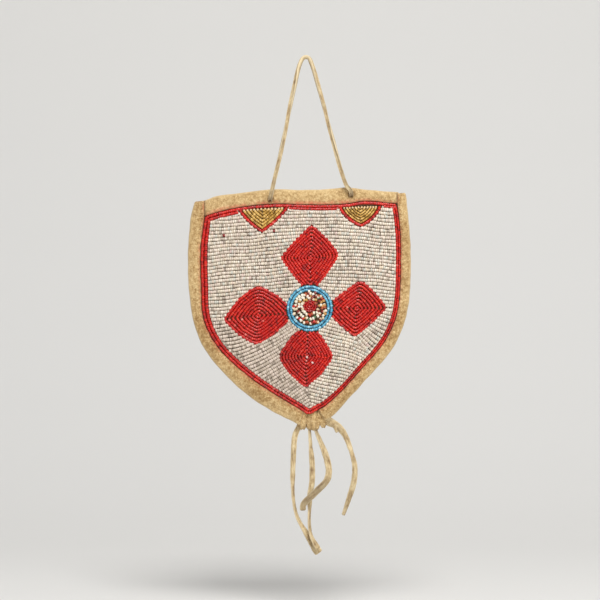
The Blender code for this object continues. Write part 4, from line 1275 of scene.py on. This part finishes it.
def side_binding(name, node, rows, count, seed, left_out):
    """A strip folded over one side. The last stations, which are left out, lie in the gathered tip."""
    outer, inner, _ = stations(rows, count + left_out)
    outer, inner = outer[:count], inner[:count]
    reach = lengths_along(outer)
    width = np.linalg.norm(inner - outer, axis=1)
    inwards = unit(inner - outer)
    wobble = wander(reach, 140, seed) * FOLD_WANDER
    cut = wander(reach, 230, seed, 9.0) * CUT_WANDER
    puff = 1.0 + SIDE_PUFF * wander(reach, 95, seed, 4.0)
    taper = end_taper(reach)
    start = outer - inwards * wobble[:, None] + (inner - outer) * ((1.0 - taper) * END_DRAW)[:, None]
    way = inner + inwards * cut[:, None] - start
    face = curve_through(SIDE_SECTION, SIDE_SECTION_POINTS)
    shares = np.concatenate([np.tile(face[:, 0], (count, 1)), np.ones((count, 1)),
                             np.full((count, 1), UNDERSIDE_SHARE), (BINDING_FOLD / width)[:, None]], axis=1)
    rise = np.concatenate([face[:, 1], [0.0, 0.0, 0.0]])
    flat = start[:, None] + way[:, None] * shares[..., None]
    lift = bulge(flat.reshape(-1, 2)).reshape(shares.shape) * np.minimum(1.0, shares * 2)
    seat = HALF_GAP + PANEL_THICKNESS + BINDING_CLEARANCE
    halves = []
    for side in (-1, 1):
        pull = stitch_pull(reach, shares * width[:, None], (width * SIDE_STITCH_LINE)[:, None], seed + side)
        height = seat * np.minimum(1.0, rise * 2.2) + BINDING_THICKNESS * rise * (taper * puff)[:, None]
        height[:, len(face):] = seat
        height = height - pull * SIDE_STITCH_DEPTH * (rise > 0.3)
        spots = np.stack([flat[..., 0], side * (height + lift), flat[..., 1]], axis=2)
        soil_and_shade = pull * SIDE_STITCH_SOIL + bell(shares, 1.0, 0.06) * SIDE_CUT_SOIL
        bleed = bell(shares, 0.95, 0.10) * (SIDE_BLEED if side < 0 else 0.0)
        # Paler along the fold: rubbed wear and painted highlight.
        halves.append((spots, soil_and_shade, bell(shares, 0.0, 0.15), bleed))
    spots, soil_and_shade, wear_and_highlight, bleed = [np.concatenate([front, back[:, :0:-1], front[:, :1]], axis=1)
                               for front, back in zip(*halves)]
    spots = spots + rumple(spots, 420.0, seed)[..., None] * HIDE_RUMPLE
    spots[:, -1] = spots[:, 0]
    made = bent_grid(name, spots, TAN_HIDE, soil_and_shade=soil_and_shade, wear_and_highlight=wear_and_highlight, bleed=bleed, girth=0.024)
    dress(made, "tan_hide", node)
    print(name, "length in mm:", round(reach[-1] * 1000))


side_binding("left_fold", "left_binding", LEFT_BINDING, 400, 2.0, left_out=7)
side_binding("right_fold", "right_binding", RIGHT_BINDING, 380, 5.0, left_out=0)

# %% Mouth bindings
HOLE_RADIUS = 0.0019
MOUTH_ROWS = 330
MOUTH_DROP = 0.0092
MOUTH_SEAT = PANEL_THICKNESS / 2 + BINDING_CLEARANCE
MOUTH_FACE = MOUTH_SEAT + BINDING_THICKNESS
MOUTH_LINING = MOUTH_SEAT + INNER_FLAP_THICKNESS
MOUTH_STITCH_LINE = 0.0077
MOUTH_STITCH_DEPTH = 0.00038
MOUTH_PUFF = 0.12
MOUTH_WANDER = 0.0003
MOUTH_WIDTH = 0.009
SEAM_WIDTH = 0.0006
SEAM_DEPTH = 0.0006
SEAM_STATIONS = 60
HOLE_DEPTH = 0.0013
PUCKERED_RIM = 0.00028
MOUTH_STITCH_SOIL = 0.5
MOUTH_CUT_SOIL = 0.45
# Painted shade in the groove where a side binding meets the lip, and in the dent of each thong hole.
SEAM_SHADE = 0.8
HOLE_SHADE = 1.1
LIP_PALENESS = 0.2
# Shares of the drop and of the face's height, from the cut edge up to the fold, and on down the lining.
FACE_SECTION = ((1.0, 0.5), (0.985, 0.72), (0.94, 0.86), (0.75, 0.97), (0.45, 1.0), (0.2, 0.88), (0.06, 0.55),
                (0.0, 0.1))
LINING_SECTION = ((0.0, 0.25), (0.06, 0.7), (0.2, 0.96), (INNER_FLAP_SHARE * 0.66, 1.0),
                  (INNER_FLAP_SHARE * 0.96, 1.0), (INNER_FLAP_SHARE, 0.8))
MOUTH_SECTION_POINTS = 44


def mouth_section():
    """The strip's closed section: how far down each point lies, and how far off the panel's middle."""
    ring = [(share * MOUTH_DROP, MOUTH_FACE * rise) for share, rise in FACE_SECTION]
    ring += [(share * MOUTH_DROP, -MOUTH_LINING * rise) for share, rise in LINING_SECTION]
    ring = curve_through(ring, MOUTH_SECTION_POINTS)
    seated = [(INNER_FLAP_SHARE * MOUTH_DROP, -MOUTH_SEAT), (BINDING_FOLD, -MOUTH_SEAT),
              (BINDING_FOLD, MOUTH_SEAT), (MOUTH_DROP, MOUTH_SEAT)]
    return np.vstack([ring, seated, ring[:1]])


def lengthened(line):
    """A lip's edge run on past both of its ends."""
    return spaced(np.vstack([line[:1] * 2 - line[4:5], line, line[-1:] * 2 - line[-5:-4]]), len(line))


def mouth_binding(name, side, seed):
    top, low = [lengthened(line) for line in stations(MOUTH_BINDING, MOUTH_ROWS)[:2]]
    reach = lengths_along(top)
    section = mouth_section()
    shares = section[:, 0] / MOUTH_DROP
    way = low - top
    start = top + way * (wander(reach, 110, seed) * MOUTH_WANDER / MOUTH_WIDTH)[:, None]
    flat = start[:, None] + way[:, None] * shares[:, None]
    points = flat.reshape(-1, 2)
    puff = 1.0 + MOUTH_PUFF * wander(reach, 80, seed, 4.0)
    fullness = (end_taper(reach) * puff)[:, None]
    rise = np.tile(section[:, 1], (MOUTH_ROWS, 1))
    puffed = np.sign(rise) * (MOUTH_SEAT + (np.abs(rise) - MOUTH_SEAT) * fullness)
    rise = np.where(np.abs(rise) > MOUTH_SEAT, puffed, rise)
    inward = np.tile(shares * MOUTH_DROP, (MOUTH_ROWS, 1))
    pull = stitch_pull(reach, inward, MOUTH_STITCH_LINE, seed) * (rise > MOUTH_SEAT)
    rise = rise - pull * MOUTH_STITCH_DEPTH
    side_seams = [stations(rows, SEAM_STATIONS)[1] for rows in (LEFT_BINDING, RIGHT_BINDING)]
    seam = np.min([distance_to(line, points) for line in side_seams], axis=0)
    seam = bell(seam, 0.0, SEAM_WIDTH).reshape(rise.shape)
    rise = rise - seam * (rise > MOUTH_SEAT) * SEAM_DEPTH
    soil_and_shade = pull * MOUTH_STITCH_SOIL + bell(shares, 1.0, 0.07)[None] * MOUTH_CUT_SOIL + seam * SEAM_SHADE
    for hole in HOLES:
        away = np.linalg.norm(flat - hole, axis=2)
        dent = bell(away, 0.0, HOLE_RADIUS * 0.75) * (rise > MOUTH_SEAT)
        pucker = bell(away, HOLE_RADIUS * 1.35, 0.0006) * (rise > MOUTH_SEAT)
        rise = rise - dent * HOLE_DEPTH + pucker * PUCKERED_RIM
        # Painted shade in the dent that stands for the hole.
        soil_and_shade = soil_and_shade + dent * HOLE_SHADE
    middle_plane = HALF_GAP + PANEL_THICKNESS / 2 + bulge(points).reshape(rise.shape)
    spots = np.stack([flat[..., 0], side * (middle_plane + rise), flat[..., 1]], axis=2)
    spots = spots + rumple(spots, 380.0, seed)[..., None] * HIDE_RUMPLE
    spots[:, -1] = spots[:, 0]
    # The whole lip is a little paler, and paler still along its fold: rubbed wear and painted highlight.
    wear_and_highlight = np.tile(LIP_PALENESS + bell(shares, 0.0, 0.09), (MOUTH_ROWS, 1))
    bleed = bell(shares, 0.94, 0.15)[None] * (rise > MOUTH_SEAT) * (1.0 if side < 0 else 0.0)
    made = bent_grid(name, spots, TAN_HIDE, soil_and_shade=soil_and_shade, wear_and_highlight=wear_and_highlight, bleed=bleed, girth=0.022)
    dress(made, "tan_hide", ("front" if side < 0 else "back") + "_mouth_binding")
    print(name, "length in mm:", round(reach[-1] * 1000))


mouth_binding("front_lip", -1, 12.0)
mouth_binding("back_lip", 1, 17.0)

# %% [markdown]
# ## The gathered tip
# At the tip the hide of both panels is drawn together and hangs down as a pleated lobe, with a small
# loose tab on its right and a smaller lobe on its left. The pleats are deep and sharp below and fade out
# towards the beadwork.

# %% Gather, tab and small lobe
# Each level, from the top down: middle across, half width, half depth and height, in mm.
GATHER_LEVELS = ((4.4, 5.2, 3.0, -136.6), (4.4, 5.2, 3.1, -140.6), (4.3, 4.9, 3.3, -143.5),
                 (4.2, 4.6, 3.3, -146.4), (4.3, 4.0, 2.9, -148.8), (4.4, 2.9, 1.9, -149.9))
TAB_LEVELS = ((8.6, 3.2, 2.9, -137.4), (9.1, 3.4, 2.8, -140.6), (9.8, 3.1, 2.3, -143.8),
              (10.6, 2.3, 1.7, -146.6), (11.0, 1.0, 0.9, -148.5))
LOBE_LEVELS = ((-1.4, 3.4, 3.0, -137.6), (-1.7, 3.4, 3.2, -141.6), (-2.0, 3.1, 3.2, -145.4),
               (-2.3, 2.5, 2.6, -148.2), (-2.4, 1.4, 1.3, -149.6))
CREASE_SHARPNESS = 0.6
TIP_RUMPLE = 0.00022
RAGGED_END = 0.5


def drawn_together(name, levels, pleats, depth, count, around, seed, *nodes):
    """A hanging lobe of hide with sharp pleats down its face."""
    smooth = curve_through(levels, count)
    angles = np.linspace(0.0, 2 * math.pi, around)
    crease = np.abs(np.sin(angles * pleats / 2 + 0.4)) ** CREASE_SHARPNESS
    hang = np.linspace(0.35, 1.0, count)[:, None]
    scale = 1.0 - depth * hang * (1.0 - crease)[None]
    scale[:, -1] = scale[:, 0]
    x = smooth[:, :1] + smooth[:, 1:2] * scale * np.cos(angles)
    y = smooth[:, 2:3] * scale * np.sin(angles)
    ragged = RAGGED_END * np.sin(angles * 3 + seed) * np.linspace(0.0, 1.0, count)[:, None] ** 4
    z = smooth[:, 3:4] + ragged
    spots = placed_deep(np.stack([x, y, z], axis=2))
    spots = spots + rumple(spots, 500.0, seed)[..., None] * TIP_RUMPLE
    spots[:, -1] = spots[:, 0]
    # Painted shade down the pleats' valleys, deeper towards the bottom.
    soil_and_shade = (1.0 - crease)[None] * hang * 0.5
    wear_and_highlight = np.tile(np.linspace(0.0, 0.8, count)[:, None] ** 3, (1, around))
    made = bent_grid(name, spots, TAN_HIDE, soil_and_shade=soil_and_shade, wear_and_highlight=wear_and_highlight, girth=0.018)
    dress(made, "tan_hide", *nodes)


drawn_together("tip_pleats", GATHER_LEVELS, 7, 0.26, 44, 85, 3.0, "tip_gather")
drawn_together("tip_flap", TAB_LEVELS, 2, 0.25, 30, 41, 7.0, "tip_tab")
drawn_together("tip_lobe", LOBE_LEVELS, 3, 0.22, 30, 49, 11.0)
print("the tip ends at", round(MOUTH_LEVEL * 1000 + GATHER_LEVELS[-1][3], 1), "mm")

# %% [markdown]
# ## Thong and fringe
# The thong is one strip of hide, about 2.4 mm wide, knotted behind the bag, passed through both lips, and
# led up over the peg that carries the bag. It is limp and hangs taut under the bag's weight. The four
# fringe strips are cut from the tip, hang free and turn as they dry, so that some of their length is
# seen on edge. A short stub hangs beside the fourth one. Each is a flat section carried along its route
# while it turns.

# %% A cut strip along a route
ROUTE_POINTS = 400
SHORTEST_ROUTE = 12
STRIP_STEP = 0.0006
FINE_STEP = 0.0005
# How square the section's sides and faces are, how far it cups, and how far its closed ends narrow.
SIDE_SQUARENESS = 0.42
FACE_SQUARENESS = 0.55
CUP = 0.7
END_LENGTH = 0.0003
END_SHARE = 0.45
FRAYING = 0.07
STRIP_RUMPLE = 0.00010
PATCHES = 0.5


def smooth_route(points, step):
    """Points along a smooth curve, about one step apart."""
    dense = curve_through(points, ROUTE_POINTS)
    return spaced(dense, max(SHORTEST_ROUTE, round(lengths_along(dense)[-1] / step)))


def carried(along):
    """A direction across the strip that is carried along it without turning."""
    sides = [np.array([1.0, 0.0, 0.0])]
    for way in along:
        side = sides[-1] - way * np.dot(sides[-1], way)
        sides.append(unit(side))
    return np.array(sides[1:])


def strip_piece(name, route, widths, thickness, turns, darkening_levels, seed, slot, *nodes, around=21):
    """widths, turns in degrees and darkening levels are given at even shares of the route."""
    along = unit(np.gradient(route, axis=0))
    side = carried(along)
    back = np.cross(side, along)
    shares = np.linspace(0.0, 1.0, len(route))
    turn = np.radians(curve_at(turns, shares))[:, None]
    wide_way = side * np.cos(turn) + back * np.sin(turn)
    thin_way = back * np.cos(turn) - side * np.sin(turn)
    reach = lengths_along(route)
    frayed = 1.0 + FRAYING * wander(reach, 330, seed)
    half_wide = (curve_at(widths, shares) * frayed / 2)[:, None]
    angles = np.linspace(0.0, 2 * math.pi, around)
    u = np.sign(np.cos(angles)) * np.abs(np.cos(angles)) ** SIDE_SQUARENESS
    v = np.sign(np.sin(angles)) * np.abs(np.sin(angles)) ** FACE_SQUARENESS
    cup = CUP * thickness * (u ** 2 - 0.4)
    closing = np.minimum(reach, reach[-1] - reach) / END_LENGTH
    closing = np.sqrt(np.clip(closing, END_SHARE, 1.0))[:, None]
    spots = (route[:, None] + wide_way[:, None] * (half_wide * u * closing)[..., None]
             + thin_way[:, None] * ((thickness / 2 * v + cup) * closing)[..., None])
    spots = spots + rumple(spots, 650.0, seed)[..., None] * STRIP_RUMPLE
    spots[:, -1] = spots[:, 0]
    patches = np.maximum(0.0, wander(reach, 120, seed, 5.0)) * PATCHES
    soil_and_shade = np.tile((patches + curve_at(darkening_levels, shares))[:, None], (1, around))
    # Paler along the strip's edges: rubbed wear and painted highlight.
    wear_and_highlight = np.tile(np.clip(np.abs(u) * 4 - 3, 0.0, 1.0), (len(route), 1))
    made = bent_grid(name, spots, LACE, soil_and_shade=soil_and_shade, wear_and_highlight=wear_and_highlight, girth=float(half_wide.mean() * 4.4))
    dress(made, slot, *nodes)
    return made


def curve_at(values, shares):
    """Values given at even shares, read off smoothly in between."""
    values = np.asarray(values, dtype=float)
    place = shares * (len(values) - 1)
    low = np.minimum(place.astype(int), len(values) - 2)
    part = place - low
    part = part * part * (3 - 2 * part)
    return values[low] + (values[low + 1] - values[low]) * part


# %% The hanging thong
THONG_DIAMETER = 0.0024
THONG_THICKNESS = 0.0017
THONG_WIDTHS = (0.0022, 0.0025, 0.0023, 0.0025, 0.0024, 0.0022, 0.0025, 0.0023)
THONG_TURNS = (0, 20, -30, 45, 90, 40, -35, 10, 0)
THONG_SOIL = (0.45, 0.3, 0.3, 0.45)
# The two strands from the peg down to the lips, in mm from the inside of the loop.
THONG_LEFT = ((-1.7, -0.1, 0.7), (-3.7, -0.6, -3.0), (-7.5, -3.0, -20.0), (-13.6, -6.6, -48.0),
              (-20.4, -10.8, -80.4))
THONG_RIGHT = ((1.7, -0.1, 0.7), (3.4, -0.6, -3.0), (8.2, -3.0, -20.0), (16.0, -6.6, -48.0),
               (24.6, -10.9, -78.6))
STRAND_LEAN = 0.00012
KNOT_WIDTH = 0.0021
KNOT_THICKNESS = 0.0015
KNOT_ROUND = 0.00068
KNOT_DEPTH = 0.00085
KNOT_STANDOFF = 0.0026
KNOT_POINTS = 30
KNOT_TAILS = (-0.0012, 0.0016)
KNOT_TAIL_DROP = 0.0080


def outer_depth(hole):
    """How far the mouth binding's face stands off the seam plane."""
    return HALF_GAP + PANEL_THICKNESS + BINDING_CLEARANCE + BINDING_THICKNESS + float(bulge(hole)[0])


def thong_route():
    radius = THONG_DIAMETER / 2
    ends = []
    for (x, z), strand in zip(HOLES, (THONG_LEFT, THONG_RIGHT)):
        face = outer_depth((x, z))
        lean = -STRAND_LEAN if x < 0 else STRAND_LEAN
        through = [(x, face, z), (x, 0.0, z), (x, -face + radius, z), (x, -face - radius * 0.4, z)]
        turn = [(x - lean, -face - radius * 1.5, z + radius * 0.7),
                (x - lean * 4, -face - radius * 1.75, z + radius * 2)]
        up = [tuple(value * MILLIMETRE for value in spot) for spot in reversed(strand)]
        ends.append(through + turn + up)
    return ends[0] + [(0.0, 0.0, radius)] + ends[1][::-1]


def knot_route(x, y, z, tail):
    """An overhand knot drawn tight, and the short end that hangs from it."""
    loop = []
    for t in np.linspace(0.5, 2 * math.pi - 0.35, KNOT_POINTS):
        loop.append((x + (math.sin(t) + 2 * math.sin(2 * t)) * KNOT_ROUND, y - math.sin(3 * t) * KNOT_DEPTH,
                     z + (math.cos(t) - 2 * math.cos(2 * t)) * KNOT_ROUND))
    end = loop[-1]
    return loop + [(end[0] + tail * 0.3, y + 0.0006, end[2] - 0.0035),
                   (end[0] + tail, y + 0.0003, end[2] - KNOT_TAIL_DROP)]


for hole, side, tail in zip(HOLES, ("left", "right"), KNOT_TAILS):
    knot_line = knot_route(hole[0], outer_depth(hole) + KNOT_STANDOFF, hole[1], tail)
    strip_piece(f"knot_{side}", smooth_route(knot_line, FINE_STEP), (KNOT_WIDTH, KNOT_WIDTH),
                             KNOT_THICKNESS, (0, 60, 0), (0.1, 0.2), 31.0 + tail * 1000,
                             "thong_hide", f"thong_knot_{side}")
thong_line = smooth_route(thong_route(), STRIP_STEP)
thong = strip_piece("thong", thong_line, THONG_WIDTHS, THONG_THICKNESS, THONG_TURNS, THONG_SOIL, 40.0,
                    "thong_hide", "hang_thong")

# %% The fringe strips
FRINGE_ROUTES = (
    ((-4.4, 0.3, -147.9), (-6.8, 0.2, -153.5), (-7.8, 0.2, -166.8), (-8.1, 0.6, -182.0), (-7.4, 0.8, -194.7),
     (-5.2, 0.6, -204.0), (-0.2, 0.4, -213.0), (4.9, 0.2, -222.0), (8.1, 0.0, -226.3)),
    ((2.3, 0.2, -150.0), (3.2, 0.4, -161.8), (3.9, 0.2, -172.4), (3.6, 0.0, -184.0), (2.7, 0.2, -188.6),
     (2.4, 0.4, -197.8), (2.2, -1.4, -207.1), (3.4, -3.4, -215.1), (7.6, -3.8, -223.2)),
    ((6.2, 0.0, -150.0), (10.3, -0.8, -160.0), (13.3, -2.4, -169.3), (14.1, -3.6, -176.0),
     (12.8, -4.2, -181.0), (5.6, -4.2, -188.5), (-1.6, -3.8, -195.9), (-1.8, -3.6, -199.6)),
    ((14.0, 0.2, -144.7), (18.6, 0.0, -147.2), (23.4, -0.2, -152.0), (27.7, -0.6, -161.8),
     (30.2, -0.8, -172.5), (29.6, -0.6, -182.0), (26.4, -0.2, -193.4), (23.2, 0.0, -202.9)),
)
FRINGE_ROOTS = ((-3.2, 0.8, -145.2), (1.8, 0.6, -146.5), (5.2, 0.6, -146.5), (11.0, -0.9, -141.8))
FRINGE_DIAMETERS = (0.0034, 0.0026, 0.0032, 0.0034)
# Widths in mm, turns in degrees and darkening from 0 to 1, at even shares of each strip.
FRINGE_FORMS = (
    ((3.2, 3.6, 3.4, 3.2, 2.8, 2.7, 3.2, 4.0, 5.4), (0, 0, 6, 20, 58, 66, 56, 14, 0),
     (0.0, 0.0, 0.1, 0.0, 0.15)),
    ((2.4, 2.8, 3.4, 3.6, 3.4, 2.8, 2.6, 3.4), (65, 55, 10, 0, 15, 60, 50, 10),
     (0.4, 0.1, 0.0, 0.2, 0.1)),
    ((2.6, 3.4, 4.0, 4.0, 4.2, 4.2, 3.8), (66, 40, 8, 0, 12, -12, 20),
     (0.5, 0.3, 0.0, 0.05, 0.7, 0.75, 0.5)),
    ((7.0, 5.0, 3.4, 3.0, 3.4, 3.8, 3.2, 2.4), (0, 0, 25, 50, 15, 5, 35, 50),
     (0.0, 0.1, 0.0, 0.1, 0.3, 0.35)),
)
STUB_ROUTE = ((14.8, -0.6, -144.6), (17.6, -0.5, -147.6), (19.3, -0.5, -151.6))
STUB_WIDTHS = (0.0030, 0.0022, 0.0016)
STUB_TURNS = (0, 10, 25)
STUB_SOIL = (0.0, 0.2)
STRIP_THICKNESS = 0.0009


def fringe_strip(number, root, spots, form, diameter):
    """One strip. It starts a little inside the tip, above the end of the CAD cord."""
    line = smooth_route(placed_deep((root, *spots)), STRIP_STEP)
    widths, turns, darkening_levels = form
    widths = np.array(widths) * MILLIMETRE
    strip = strip_piece(f"fringe_{number}", line, widths, STRIP_THICKNESS, turns, darkening_levels, 50.0 + number,
                        "thong_hide", f"fringe_strip_{number}")


for number, strip in enumerate(zip(FRINGE_ROOTS, FRINGE_ROUTES, FRINGE_FORMS, FRINGE_DIAMETERS), 1):
    fringe_strip(number, *strip)
strip_piece("fringe_stub", smooth_route(placed_deep(STUB_ROUTE), FINE_STEP), STUB_WIDTHS, STRIP_THICKNESS,
            STUB_TURNS, STUB_SOIL, 61.0, "thong_hide")

# %% [markdown]
# ## The stage
# The backdrop is pale and matt.

# %% Backdrop finish
wall_finish = Recipe("backdrop", Roughness=0.95)
wall_finish.shader.inputs["Base Color"].default_value = ink(226, 224, 220)
backdrop.data.materials.append(wall_finish.material)
